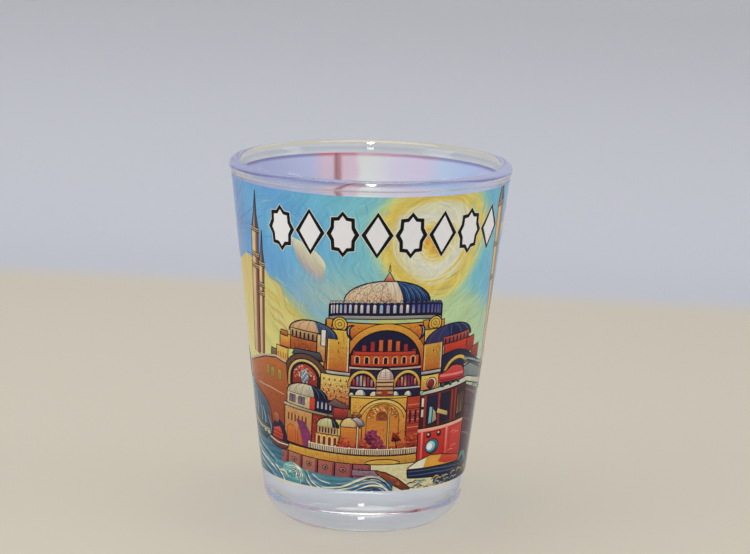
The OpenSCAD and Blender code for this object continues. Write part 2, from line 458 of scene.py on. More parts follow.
def lay(piece, patches, ink, top=None):
    """Adds one area to a piece: an outline or several, in one ink or fading up to another."""
    if not isinstance(patches[0][0], tuple):
        patches = [patches]
    covered = [spots_under(patch) for patch in patches]
    sheet = 1 + max(stacked[block][mask].max(initial=0) for block, mask in covered)
    for block, mask in covered:
        stacked[block][mask] = sheet
    patches = [split_long(patch) for patch in patches]
    artwork.setdefault(piece, []).append((int(sheet), patches, linear(ink), linear(top or ink)))


print("the film runs from", round(FIRST_X, 1), "to", round(LAST_X, 1), "mm")

# %% [markdown]
# Everything in the picture is drawn from a few kinds of outline: rectangles, ovals,
# doorways and smooth curves. A pen or brush line is an area too, a row of quads that can
# thin out towards its ends.

# %% Outlines and lines
def box(x0, z0, x1, z1):
    """A plain rectangle."""
    return [(x0, z0), (x1, z0), (x1, z1), (x0, z1)]


def oval(x, z, rx, rz=None, start=0, end=360, steps=16):
    """A full oval, or a slice of one between two angles in degrees."""
    rz = rx if rz is None else rz
    count = steps if end - start >= 360 else steps + 1
    return [(x + rx * math.cos(math.radians(start + (end - start) * k / steps)),
             z + rz * math.sin(math.radians(start + (end - start) * k / steps)))
            for k in range(count)]


def arched(x, z0, wide, high, steps=6):
    """A doorway shape with a round top."""
    r = wide / 2
    return [(x - r, z0), (x + r, z0)] + oval(x, z0 + high - r, r, start=0, end=180, steps=steps)


def curve(points, steps=5):
    """A smooth line through a few points."""
    ends = [points[0]] + list(points) + [points[-1]]
    line = []
    for a, b, c, d in zip(ends, ends[1:], ends[2:], ends[3:]):
        for k in range(steps):
            t = k / steps
            line.append(tuple(0.5 * (2 * q + (r - p) * t + (2 * p - 5 * q + 4 * r - s) * t * t
                                     + (3 * q - p - 3 * r + s) * t ** 3)
                              for p, q, r, s in zip(a, b, c, d)))
    return line + [tuple(points[-1])]


def stroke(line, wide, taper=0.0, closed=False):
    """The patches of a pen or brush line; a taper of 1 brings both its ends to a point."""
    if closed:
        line = [line[-1]] + list(line) + line[:2]
    sides = []
    for k, (x, z) in enumerate(line):
        (x0, z0), (x1, z1) = line[max(k - 1, 0)], line[min(k + 1, len(line) - 1)]
        size = math.hypot(x1 - x0, z1 - z0) or 1
        half = wide / 2 * (1 - taper * 0.92 * (2 * k / (len(line) - 1) - 1) ** 2) / size
        sides.append(((x - (z1 - z0) * half, z + (x1 - x0) * half),
                      (x + (z1 - z0) * half, z - (x1 - x0) * half)))
    if closed:
        sides = sides[1:-1]
    return [[a[1], b[1], b[0], a[0]] for a, b in zip(sides, sides[1:])]


KEY = "#15121E"


def key(line, wide=0.2, closed=True, taper=0.0, ink=KEY):
    """A dark key line, the pen line that holds the colours together."""
    lay("key_lines", stroke(line, wide, taper, closed), ink)


def inked(piece, outline, ink, top=None, wide=0.2, closed=True, pen=KEY):
    """An area and the pen line that follows its outline."""
    lay(piece, outline, ink, top)
    key(outline, wide, closed, ink=pen)


def outlined(piece, outline, ink, top=None, wide=0.2):
    """An area with a key line all round it that bends with the film."""
    lay(piece, outline, ink, top)
    key(split_long(outline), wide)


print("artwork is", round(2 * math.pi * DRAWN_R, 1), "mm long")

# %% [markdown]
# The film is rolled round a cone. Flat film on a cone keeps its upright lines parallel, so
# away from the picture's middle they lean across the wall, and level lines climb a little.
# Past the sides the picture is drawn to fit the band, so this fades out before the seam.

# %% Rolling the film
PICTURE_X, MID_Z = 3.4, 30
FADE_FROM, FADE_TO = math.radians(82), math.radians(130)
apex_z = band_z0 - glass_r0 / slope


def rolled(x, z):
    """Where a point of the flat film comes to lie on the band."""
    turn = (x - PICTURE_X) / DRAWN_R
    aside = math.tan(turn * math.sin(lean)) * (MID_Z - apex_z)
    down = z - apex_z
    leaning = PICTURE_X + math.atan2(aside, down) / math.sin(lean) * DRAWN_R - x
    fade = min(max((FADE_TO - abs(turn)) / (FADE_TO - FADE_FROM), 0), 1)
    fade = fade * fade * (3 - 2 * fade)
    return x + leaning * fade, z + (math.hypot(aside, down) - down) * fade


print("the film climbs", round(rolled(-22, 12)[1] - 12, 2), "mm at the towers")

# %% [markdown]
# Wrapping turns each flat point into a place on the wall. All sheets are cut on the same
# upright lines, and between two lines a point goes along the straight chord, so every facet
# is flat and the sheets stay parallel. The flat place is kept as a UV map and the colours as
# an attribute, so a material can draw bricks, ripples or brush marks in millimetres of
# artwork. The normals are those of the true cone, which keeps the gloss smooth.

# %% Wrapping the artwork
CUT = math.radians(2.5)
FIRST_INK = 0.055


def on_wall(x, z, sheet, sheet_t):
    """Where a flat point of one sheet comes to lie on the wall, in metres."""
    place = x / DRAWN_R / CUT
    line = math.floor(place + 1e-6)
    here, there = (Vector((math.sin(k * CUT), -math.cos(k * CUT), 0)) for k in (line, line + 1))
    flat = here.lerp(there, place - line) * (wall_r(z) + FIRST_INK + sheet * sheet_t)
    return Vector((flat.x, flat.y, z)) * MM


def cone_normals(made):
    """Shades a printed piece as the smooth cone it lies on."""
    facing = [Vector((v.co.x, v.co.y, 0)).normalized() * math.cos(lean)
              + Vector((0, 0, -math.sin(lean))) for v in made.data.vertices]
    made.data.normals_split_custom_set_from_vertices(facing)


def attach_print(made, node="print_wrap"):
    """Hangs a printed piece on the glass. It is too thin to shade the glass behind it."""
    made.visible_shadow = False
    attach(made, "root")
    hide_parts(node)
    print(f"{made.name}: {len(made.data.polygons)} faces")


def print_piece(name, material, sheet_t, node="print_wrap"):
    """Cuts, wraps and colours all the areas of one piece."""
    bm = bmesh.new()
    number = bm.faces.layers.int.new("area")
    for index, (sheet, patches, _, _) in enumerate(artwork[name]):
        for patch in patches:
            face = bm.faces.new([bm.verts.new((*rolled(x, z), sheet)) for x, z in patch])
            face[number] = index
            face.normal_update()
            if face.normal.z < 0:
                face.normal_flip()
    spans = []
    for _, patches, _, _ in artwork[name]:
        heights = [rolled(x, z)[1] for patch in patches for x, z in patch]
        spans.append((min(heights), max(max(heights) - min(heights), 1e-6)))
    bmesh.ops.triangulate(bm, faces=[f for f in bm.faces if len(f.verts) > 4], ngon_method="EAR_CLIP")
    bmesh.ops.remove_doubles(bm, verts=bm.verts, dist=1e-4)
    for co, no in (((0, band_z0, 0), (0, -1, 0)), ((0, band_z1, 0), (0, 1, 0)),
                   ((LAST_X, 0, 0), (1, 0, 0)), ((FIRST_X, 0, 0), (-1, 0, 0))):
        bmesh.ops.bisect_plane(bm, geom=bm.verts[:] + bm.edges[:] + bm.faces[:], dist=1e-5,
                               plane_co=co, plane_no=no, clear_outer=True)
    step = CUT * DRAWN_R
    places = [v.co.x / step for v in bm.verts]
    for k in range(math.ceil(min(places)), math.floor(max(places)) + 1):
        bmesh.ops.bisect_plane(bm, geom=bm.verts[:] + bm.edges[:] + bm.faces[:], dist=1e-5,
                               plane_co=(k * step, 0, 0), plane_no=(1, 0, 0))
    flat = bm.loops.layers.uv.new("flat")
    ink = bm.loops.layers.float_color.new("ink")
    for face in bm.faces:
        _, _, low, high = artwork[name][face[number]]
        foot, tall = spans[face[number]]
        for loop in face.loops:
            x, z, _ = loop.vert.co
            loop[flat].uv = (x, z)
            up = min(max((z - foot) / tall, 0), 1)
            loop[ink] = [a + (b - a) * up for a, b in zip(low, high)]
    for vert in bm.verts:
        vert.co = on_wall(*vert.co, sheet_t)
    made = mesh_object(name, bm, material)
    cone_normals(made)
    attach_print(made, node)
    return made


print("sheets are cut every", round(CUT * DRAWN_R, 2), "mm")

# %% [markdown]
# The sky is painted wet in wet: blue on the left, sea green over the roofs, lemon low down,
# and a great whirl of sunlight in bands of orange, cream and gold. One function says what
# colour the sky is at any place. The ground coat takes it point by point, and the brush
# strokes over it take it with a little more white, blue or yellow.

# %% Sky colours
SUN_X, SUN_Z = 10.7, 51.6
SUN_BANDS = ["#E08A3A", "#F4C24C", "#F2B444", "#F8E67E", "#F6F3D2", "#F2F3E2", "#F3F1D2", "#EFEDC6",
             "#EFD260", "#F2DA70", "#ECE68C", "#CCE6A4", "#9ADACE"]
BAND_W = 0.95
random.seed(11)


def blend_hex(a, b, t):
    """A hex colour between two others."""
    t = min(max(t, 0), 1)
    return "#" + "".join(f"{round(int(a[i:i + 2], 16) * (1 - t) + int(b[i:i + 2], 16) * t):02X}"
                         for i in (1, 3, 5))


def along(inks, place):
    """The colour at one place in a list of inks, where 1.5 is halfway from ink 1 to ink 2."""
    k = min(max(place, 0), len(inks) - 1.001)
    return blend_hex(inks[int(k)], inks[int(k) + 1], k % 1)


def sky_ink(x, z):
    """The sky's colour at one place on the artwork, before the brush varies it."""
    ahead = math.cos((x - 12) / DRAWN_R)
    green = 3.6 * math.exp(-((x - 9) / 13) ** 2) + 0.35 * math.sin(z * 0.5 + x * 0.35)
    blues = along(["#6CACE4", "#74BEE8", "#7ECCE4", "#92D8DC", "#A8DFD0"], green + 0.35 + 0.4 * ahead)
    blues = blend_hex(blues, "#6F86C8", math.exp(-((x + 31) / 6) ** 2) * 0.7)
    blues = blend_hex(blues, "#B9CDBE", math.exp(-((x + 6) / 7) ** 2 - ((z - 42) / 4) ** 2) * 0.8)
    warmth = 1 + math.sin(x * 0.16 + 0.4) * 0.8 + (x - 9) / 7
    low = along(["#DCCB6A", "#D6DB7E", "#C8E2A8", "#B0DACA"], warmth)
    # The two ends of the film come to the same pale green where they meet.
    low = blend_hex(low, "#C2DDB6", 1.15 * math.exp(-((abs(x - 5.4) - 68) / 17) ** 2))
    edge = 41 + 2.4 * math.sin(x * 0.22 - 1.2) - 3.5 * math.exp(-((x + 9) / 7) ** 2)
    colour = blend_hex(low, blues, (z - edge) / 3.2 + 0.5)
    away = math.hypot(x - SUN_X, z - SUN_Z) - 0.45 * math.sin(3 * math.atan2(z - SUN_Z, x - SUN_X))
    return blend_hex(along(SUN_BANDS, away / BAND_W), colour, (away - 9.2) / 2.2)


print("sky over the roofs is", sky_ink(0, 46))

# %% [markdown]
# Every print ink here is a UV-cured screen ink: hard, glossy and a little raised. Its
# material takes the area's own colour from the attribute and lets a `marks` function vary
# it, with a mask of fine marks that darken and lighten it. A slight bump from the same marks
# gives the gloss the drag of the ink. Roughness 0.13 keeps the shine clear, and a low
# specular level keeps the black of the ink deep.

# %% Print ink
def print_ink(name, marks, dark=0.55, light=1.25, rough=0.13):
    """A glossy ink whose own colour is varied by a mask, where 0 is dark and 1 is light."""
    made, tree, out = new_material(name)
    own = add(tree, "Attribute", attribute_name="ink").outputs["Color"]
    flat = add(tree, "UVMap", uv_map="flat").outputs["UV"]
    mask = marks(tree, flat)
    gain = add(tree, "MapRange", {"Value": mask}, {"To Min": dark, "To Max": light}).outputs[0]
    toned = add(tree, "VectorMath", {0: own, "Scale": gain}, operation="SCALE").outputs[0]
    # The screen's mesh, 0.12 mm apart, leaves a faint tooth in the cured ink.
    tooth = add(tree, "TexNoise", {"Vector": flat}, {"Scale": 1 / 0.12, "Detail": 1}).outputs["Fac"]
    both = add(tree, "Math", {0: mask, 1: tooth}, {2: 0.5}, operation="MULTIPLY_ADD").outputs[0]
    drag = add(tree, "Bump", {"Height": both}, {"Strength": 0.12, "Distance": 0.02 * MM}).outputs[0]
    shade = add(tree, "BsdfPrincipled", {"Base Color": toned, "Normal": drag},
                {"Roughness": rough, "IOR": 1.5, "Specular IOR Level": 0.2})
    tree.links.new(shade.outputs[0], out.inputs["Surface"])
    return made


def brush_marks(tree, flat):
    """Streaks 0.3 mm apart that run in rings round the sun."""
    from_sun = add(tree, "VectorMath", {0: flat}, {1: (SUN_X, SUN_Z, 0)}, operation="SUBTRACT").outputs[0]
    blot = add(tree, "TexNoise", {"Vector": flat}, {"Scale": 1 / 5, "Detail": 2})
    bent = add(tree, "VectorMath", {0: blot.outputs["Color"], 2: from_sun}, {1: (5, 5, 0)},
               operation="MULTIPLY_ADD").outputs[0]
    away = add(tree, "VectorMath", {0: bent}, operation="LENGTH").outputs["Value"]
    around = add(tree, "VectorMath", {0: bent}, operation="NORMALIZE").outputs[0]
    wound = add(tree, "VectorMath", {0: around}, {1: (3.2, 3.2, 0)}, operation="MULTIPLY").outputs[0]
    depth = add(tree, "Math", {0: away}, {1: 1 / 0.45}, operation="MULTIPLY").outputs[0]
    rings = add(tree, "CombineXYZ", {"Z": depth}).outputs[0]
    place = add(tree, "VectorMath", {0: wound, 1: rings}, operation="ADD").outputs[0]
    streaks = add(tree, "TexNoise", {"Vector": place}, {"Scale": 1.0, "Detail": 3, "Roughness": 0.6})
    return streaks.outputs["Fac"]


sky_paint = print_ink("brushed_sky_ink", brush_marks, 0.72, 1.32)
print("sky paint has", len(sky_paint.node_tree.nodes), "nodes")

# %% [markdown]
# The ground coat is a grid in the flat artwork with a colour at each corner, wrapped onto
# the wall and given a thickness, so it is a closed coat of ink like the undercoat below it.
# Its columns are the same cutting lines as every other sheet's.

# %% Sky ground coat
GROUND_T, GRID_ROWS = 0.004, 110

bm = bmesh.new()
columns = round(2 * math.pi / CUT)
bmesh.ops.create_grid(bm, x_segments=columns, y_segments=GRID_ROWS, size=1)
half_w, half_h = math.pi * DRAWN_R, (band_z1 - band_z0) / 2
bmesh.ops.scale(bm, vec=(half_w, half_h, 1), verts=bm.verts)
bmesh.ops.translate(bm, vec=((FIRST_X + LAST_X) / 2, band_z0 + half_h, 0), verts=bm.verts)
flat = bm.loops.layers.uv.new("flat")
ink = bm.loops.layers.float_color.new("ink")
for vert in bm.verts:
    vert.co.x = min(max(vert.co.x, FIRST_X), LAST_X)
    colour = linear(sky_ink(vert.co.x, vert.co.y))
    for loop in vert.link_loops:
        loop[flat].uv = vert.co.xy
        loop[ink] = colour
for vert in bm.verts:
    vert.co = on_wall(*vert.co, 0)
bmesh.ops.solidify(bm, geom=bm.faces[:], thickness=GROUND_T * MM)
bmesh.ops.recalc_face_normals(bm, faces=bm.faces)
sky_wash = mesh_object("sky_wash", bm, sky_paint)
attach_print(sky_wash)

# %% [markdown]
# Brush strokes lie over the ground coat. Each is a thin tapered area that starts somewhere
# in the sky and follows the whirl round the sun, or the slow swells of the sky away from it.

# %% Sky strokes
STROKES, SUN_STROKES, WHIRL_REACH = 620, 90, 16


def flow(x, z, length):
    """A brush path that starts at one place and runs with the whirls of the sky."""
    line = []
    for _ in range(6):
        line.append((x, z))
        dx, dz = x - SUN_X, z - SUN_Z
        whirl = math.exp(-(math.hypot(dx, dz) / WHIRL_REACH) ** 2)
        turn = math.atan2(dz, dx) + math.pi / 2
        calm = -0.85 * math.cos(x * 0.09) + 0.3 * math.sin(z * 0.35 + x * 0.2)
        ahead_x = whirl * math.cos(turn) + (1 - whirl) * math.cos(calm)
        ahead_z = whirl * math.sin(turn) + (1 - whirl) * math.sin(calm)
        size = math.hypot(ahead_x, ahead_z) or 1
        x += ahead_x / size * length / 5
        z += ahead_z / size * length / 5
    return line


for _ in range(STROKES):
    x = random.uniform(FIRST_X, LAST_X)
    z = random.uniform(33, band_z1 - 0.5)
    tone = blend_hex(sky_ink(x, z), random.choice(["#FFFFFF", "#4F86C8", "#F6E48A", "#4FB4C8"]),
                     random.uniform(0.05, 0.25))
    lay("sky_strokes", stroke(flow(x, z, random.uniform(2, 5)), random.uniform(0.15, 0.4), 1.0), tone)
for _ in range(SUN_STROKES):
    # Longer strokes run round the sun itself, each in the colour of a neighbouring band.
    r, start = random.uniform(1.2, 10.2), random.uniform(0, 360)
    sweep = random.uniform(25, 80)
    tone = along(SUN_BANDS, r / BAND_W + random.uniform(-1.1, 1.1))
    path = oval(SUN_X, SUN_Z, r, r * 0.98, start, start + sweep, 10)
    lay("sun_whirl", stroke(path, random.uniform(0.2, 0.55), 1.0), tone)
print("sheets so far:", stacked.max())

# %% [markdown]
# Clouds and the warm haze low in the sky are soft shapes with a thin edge line on their
# sunny side only, as a brush leaves where two wet colours meet.

# %% Clouds
def cloud(x, z, size, ink="#E9DDBB", shade="#C6B69A"):
    """A cloud of three overlapping curls."""
    for dx, dz, r in ((-1.2, -0.2, 0.8), (1.2, -0.15, 0.85), (0, 0.2, 1.1)):
        puff = oval(x + dx * size, z + dz * size, r * size, r * size * 0.6, steps=14)
        lay("clouds", puff, shade, ink)
        edge = oval(x + dx * size, z + dz * size, r * size, r * size * 0.6, 25, 160, 8)
        key(edge, 0.12, False, 1.0, "#8C8272")


for k in range(9):
    # One long wet brush mark on the left: bands of cream and rose that taper down to the right.
    sweep = curve([(-14.6 + 0.2 * k, 50.6 - 0.42 * k), (-11.0, 49.4 - 0.55 * k), (-8.6, 47.8 - 0.5 * k),
                   (-7.6, 46.6 - 0.3 * k)], 5)
    tone = along(["#E9E8CC", "#DDD9BC", "#D2C9B0", "#BDB8B8", "#9FBCD0"], k * 0.5)
    lay("clouds", stroke(sweep, 0.8 - 0.05 * k, 0.9), tone)
key(curve([(-11.6, 50.2), (-9.6, 49.3), (-8.0, 47.8), (-7.2, 46.4)]), 0.07, False, 1.0, "#8E8A62")
haze = [(-24, 44.2), (-20.4, 43.6), (-19.0, 42.4), (-16.6, 41.8), (-15.6, 40.2), (-14.7, 37.8),
        (-12.6, 37.1), (-9.5, 36.4)]
bank = curve([(-42, 29), (-39, 35.5), (-35.5, 37.6), (-33, 41.4), (-29.5, 42.6), (-26.5, 44.4)], 4)
lay("clouds", curve(haze, 4) + [(-9.5, 30), (-27, 20), (-42, 20)] + bank, "#DDE592", "#E2C878")
key(curve(haze[1:], 4), 0.09, False, 1.0, "#7E9C6E")
for k in range(12):
    sweep = [(x + 0.4 * k - 1.5, z - 0.9 * k - 0.6) for x, z in haze[1:6]]
    lay("clouds", stroke(curve(sweep, 3), random.uniform(0.3, 0.7), 1.0),
        random.choice(["#E6CF86", "#D9C46E", "#E9DE9A", "#D9B878", "#D6DC8C"]))
for x, z, size in ((-40, 51, 2.3), (-33, 42, 1.7), (-52, 44, 2.0), (-61, 50, 1.6), (34, 50, 2.2),
                   (44, 42, 1.9), (55, 51, 2.4), (61, 41, 1.3)):
    cloud(x, z, size)
print(len(artwork["clouds"]), "cloud areas")

# %% [markdown]
# The townscape is a made-up one: a domed hall between lower halves, kiosks and walls. It is
# drawn with a few kinds of thing, so each kind is a function: a course of windows, a dome
# with a sunny and a shaded side, a slim tower, a clump of leaves, a wall with pen hatching.

# %% Kinds of building
NAVY, CREAM = "#1B1B3A", "#EFDDB0"


def wall(x0, z0, x1, z1, ink, top=None, wide=0.2, piece="stone_walls"):
    """A wall or any other plain block, with a key line round it."""
    outlined(piece, box(x0, z0, x1, z1), ink, top, wide)


def windows(x0, x1, count, z0, wide, high, ink=NAVY, rim=None, sill=0.0):
    """A course of round-topped windows, each with a lighter rim where one is given."""
    places = [x0 + (x1 - x0) * (k / (count - 1) if count > 1 else 0.5) for k in range(count)]
    if rim:
        lay("pale_trim", [arched(x, z0 - sill, wide + 0.34, high + 0.17 + sill) for x in places], rim)
    lay("windows", [arched(x, z0, wide, high) for x in places], ink)


def dome(x, z, rx, rz, light, low, dark, low_dark, turn=0.12, ribs=5):
    """A dome lit from the left; `turn` is where the shade begins, as a share of rx."""
    lay("domes", oval(x, z, rx, rz, 0, 180, 18), low, light)
    edge = [(x + turn * rx + 0.18 * rx * math.sin(math.radians(a)), z + rz * 0.99 * (1 - a / 90))
            for a in (0, 18, 36, 54, 72, 90)]
    lay("domes", oval(x, z, rx, rz, 0, 90 - 60 * turn, 10) + edge, low_dark, dark)
    for sunny in (True, False):
        marks = []
        for side in (math.cos(math.pi * k / ribs) for k in range(1, ribs)):
            if (side < turn) == sunny:
                rib = [(x + side * rx * math.cos(math.radians(a)), z + rz * math.sin(math.radians(a)))
                       for a in (0, 20, 40, 60, 78)]
                marks += stroke(rib, 0.08, 0.6)
        if marks:
            lay("key_lines", marks, "#7A5A4A" if sunny else "#5E86B8")
    key(oval(x, z, rx, rz, 0, 180, 18), 0.22, False)


def finial(x, z, size, ink="#C8402E", top="#F0D9A8"):
    """A small onion-shaped knob with a spike on it."""
    onion = curve([(x - size, z), (x - size * 0.55, z + size * 0.75), (x, z + size * 1.7)], 3)
    outline = onion + [(2 * x - a, b) for a, b in reversed(onion[:-1])]
    outlined("domes", outline, ink, top, 0.16)
    for step, r in ((1.9, 0.26), (2.35, 0.2), (2.7, 0.14)):
        outlined("domes", oval(x, z + size * step, size * r, steps=8), "#D9B25A", wide=0.08)
    key([(x, z + size * 2.6), (x, z + size * 3.3)], 0.14, False, 0.5)


def slim_tower(x, z0, z1, wide, cap, rings, light="#E6D3A4", dark="#7E4636"):
    """A tall round tower with a pointed cap, lit from the left, with ring balconies."""
    lay("slim_towers", box(x - wide / 2, z0, x + wide / 2, z1), "#B07A5C", "#C99A6C")
    lay("slim_towers", box(x - wide * 0.42, z0, x + wide * 0.02, z1), "#D9B08A", light)
    lay("slim_towers", box(x + wide * 0.2, z0, x + wide * 0.5, z1), "#8E4A3C", dark)
    for side in (-0.5, 0.14, 0.5):
        key([(x + side * wide, z0), (x + side * wide, (z0 + z1) / 2), (x + side * wide, z1)],
            0.16 if side != 0.14 else 0.07, False)
    roof = [(x - wide * 0.55, z1), (x + wide * 0.55, z1), (x + wide * 0.22, z1 + cap * 0.42),
            (x + 0.06, z1 + cap), (x - 0.06, z1 + cap), (x - wide * 0.22, z1 + cap * 0.42)]
    outlined("slim_towers", roof, "#4F4A55", "#2B2A33", 0.12)
    lay("slim_towers", [(x - wide * 0.3, z1 + 0.25), (x - wide * 0.02, z1 + 0.25), (x, z1 + cap * 0.7)],
        "#A89C94", "#6F6A70")
    for z in (z1, *rings):
        lay("slim_towers", box(x - wide * 0.62, z - 0.34, x + wide * 0.62, z + 0.34), "#B98452", "#F0DCAA")
        for edge in (-0.36, 0.0, 0.36):
            key([(x - wide * 0.64, z + edge), (x, z + edge - 0.1), (x + wide * 0.64, z + edge)],
                0.17, False)
    key(oval(x, z1 + cap + 0.1, 0.12, steps=6), 0.1)


def leaves(x, z, size, inks, count=9):
    """A clump of leaves: a heap of dabs, dark low down and light on top."""
    for layer in range(4):
        lift, dabs = layer / 3, []
        for _ in range(count):
            place, r = random.uniform(-1, 1), size * random.uniform(0.16, 0.34) * (1.2 - 0.5 * lift)
            up = lift + random.uniform(-0.25, 0.15)
            dabs.append(oval(x + place * size * (1 - 0.5 * lift), z + up * size * 1.1, r, r * 0.8, steps=7))
        lay("shrubs", dabs, blend_hex(inks[0], inks[1], lift))


def hatching(x0, z0, x1, z1, count, ink, slant=0.5, wide=0.09, piece="pen_shade"):
    """Loose pen strokes that shade part of a wall."""
    marks = []
    for _ in range(count):
        x, z, long = random.uniform(x0, x1), random.uniform(z0, z1), random.uniform(0.35, 0.8)
        marks += stroke([(x, z), (x + slant * long * 0.5, z - long * 0.5), (x + slant * long, z - long)],
                        wide, 1.0)
    lay(piece, marks, ink)


def specks(x0, z0, x1, z1, count, ink, size=0.13, piece="pen_shade"):
    """Small dabs, such as loose stones and the chips in old plaster."""
    lay(piece, [oval(random.uniform(x0, x1), random.uniform(z0, z1), size * random.uniform(0.6, 1.5),
                     size * random.uniform(0.5, 1), steps=6) for _ in range(count)], ink)


print("kinds of building are ready")

# %% [markdown]
# Furthest back is the distant shore, then two slim towers on the left and one that runs on
# to the right. Their stone is drawn as cream and brown bands, with pen lines at the edges.

# %% Far towers
for x, rise in ((27.5, 26.0), (34, 24.5), (41, 27.2), (49, 25.4), (57, 26.6), (63, 24.2),
                (-30, 25.8), (-37, 24.4), (-45, 27.0), (-54, 25.2), (-62, 26.4)):
    hill = oval(x, 14, 7.4, rise - 14, 0, 180, 12)
    lay("far_shore", hill, "#4F7F76", blend_hex("#8FB49A", "#B79CA8", random.random()))
slim_tower(-21.15, 28.0, 44.1, 1.5, 5.6, (40.4, 38.9))
slim_tower(-23.1, 27.6, 49.6, 2.1, 6.6, (45.2, 43.2))
slim_tower(28.4, 22.0, 54.6, 2.6, 8.0, (47.5, 41.6), "#F2D488", "#C98444")
print("sheets so far:", stacked.max())

# %% [markdown]
# The main dome stands on a ring of windows. Pen lines follow its ribs, and its shaded side
# is painted in two blues. The ring is dark with pale, rose and blue panes, and a row of tiny
# roofs tops it like lace.

# %% Main dome and its ring of windows
DOME_X, DOME_Z, DOME_RX, DOME_RZ = 3.3, 41.0, 7.5, 3.95

dome(DOME_X, DOME_Z, DOME_RX, DOME_RZ, "#EEE6CC", "#E6C298", "#26457C", "#141A40", 0.16, 9)
for tone in ("#B98A6A", "#D99A58", "#C98F94", "#8E7468"):
    # Rows of short dashes turn the sunny side into small tiles of lead.
    dashes = []
    for _ in range(64):
        a, size = math.radians(random.uniform(100, 178)), random.uniform(0.15, 1)
        x = DOME_X + 1.1 + (DOME_RX + 1.0) * size * math.cos(a)
        z = DOME_Z + DOME_RZ * size * math.sin(a) * 0.95
        dashes.append(box(x - 0.06, z - 0.1, x + 0.06, z + 0.1))
    lay("pen_shade", dashes, tone)
for tone, start in (("#4C83B8", 0.33), ("#6FA3C8", 0.38), ("#253E78", 0.43)):
    lines = []
    for k in range(4):
        size = start + 0.16 * k
        rib = oval(DOME_X + 1.2, DOME_Z, (DOME_RX - 1.2) * size, DOME_RZ * 0.92, 6, 58, 6)
        lines += stroke(rib, 0.08, 1.0)
    lay("pen_shade", lines, tone)
finial(DOME_X, DOME_Z + DOME_RZ - 0.1, 0.95)

RING_RX, RING_Z, RING_RZ, PANE_COUNT = 10.0, 39.7, 0.9, 23
ring = [(DOME_X + RING_RX * math.sin(math.radians(a)), RING_Z + RING_RZ * math.cos(math.radians(a)))
        for a in range(-84, 85, 8)]
drum = [(x, z + 0.55) for x, z in ring] + [(x, z - 1.55) for x, z in reversed(ring)]
outlined("dome_ring", drum, "#14132B", "#20204A")
PANES = ["#F2EFE6", "#D9C3D6", "#E9E2D0", "#8FC7E6", "#B99AD0", "#C7D8EE", "#E7C7B0"]
for k in range(PANE_COUNT):
    a = math.radians(-72 + 144 * k / (PANE_COUNT - 1))
    x, z = DOME_X + RING_RX * math.sin(a), RING_Z + RING_RZ * math.cos(a)
    wide = 0.42 * math.cos(a) + 0.1
    tone = PANES[k % len(PANES)] if k < 15 else ["#4E62B8", "#6A55A8", "#34508F"][k % 3]
    lay("dome_ring", arched(x, z - 1.15, wide, 1.45, 4), "#6C6FA0" if k > 15 else "#B8B6C6", tone)
    roof = [(x - 0.42, z + 0.5), (x + 0.42, z + 0.5), (x + 0.1, z + 0.98), (x - 0.1, z + 0.98)]
    outlined("dome_ring", roof, "#8C8A9A" if k < 14 else "#3A3F6A", "#EFEAD8" if k < 14 else "#55609A", 0.13)
cornice = [(x, z - 1.55) for x, z in ring] + [(x, z - 2.2) for x, z in reversed(ring)]
outlined("pale_trim", cornice, "#6E6468", "#B9B4B0", 0.18)
print("sheets so far:", stacked.max())

# %% [markdown]
# Below it is the front of the hall: a great arch between two piers. The arch's recess is
# deep blue with red masonry and two rows of windows. The piers fade from gold to red.

# %% Hall front
wall(-7.2, 27.5, 13.9, 37.6, "#B8432A", "#C9702F")
lay("stone_walls", box(-7.1, 35.6, 13.8, 37.5), "#D06A2B", "#EBA03A")
specks(-2.5, 35.8, 9.5, 37.3, 60, "#9E4A22", 0.1)
ARCH_X, ARCH_Z, ARCH_R = 3.3, 30.2, 6.25
lay("stone_walls", stroke(oval(ARCH_X, ARCH_Z, ARCH_R + 0.55, start=0, end=180, steps=20), 1.25),
    "#C2402C", "#F0B244")
key(oval(ARCH_X, ARCH_Z, ARCH_R + 1.2, start=8, end=172, steps=20), 0.14, False)
inked("hall_recess", oval(ARCH_X, ARCH_Z, ARCH_R, end=180, steps=20), "#1D1638", "#191B40", 0.26, False)
for k, x in enumerate((-1.9, -0.4, 1.0, 2.4, 3.9, 5.3, 6.7, 8.2)):
    tall = 34.9 - 0.17 * (x - ARCH_X) ** 2 * 0.45
    lay("hall_recess", box(x - 0.32, 30.3, x + 0.32, tall), "#B52F2C" if k in (0, 7) else "#C93B28",
        "#E2702F" if 2 < k < 6 else "#A82C34")
lay("hall_recess", box(-2.3, 30.4, 8.9, 31.0), "#C93F2A", "#E2692E")
lay("hall_recess", box(-1.9, 32.1, 8.5, 32.75), "#B8322B", "#D8512B")
key([(-2.0, 32.75), (3.3, 32.85), (8.6, 32.75)], 0.13, False)
windows(-1.1, 7.5, 7, 33.0, 0.62, 1.65, "#16132E")
lay("hall_recess", box(-2.5, 30.35, 9.1, 32.0), "#C9402A", "#D9552B")
windows(-1.5, 8.1, 7, 30.7, 0.62, 1.15, "#17132C", "#EBC07A")
key([(-2.9, 30.2), (3.3, 30.1), (9.5, 30.2)], 0.26, False)
lay("pale_trim", box(-2.9, 29.7, 9.6, 29.95), "#C9C2B4")


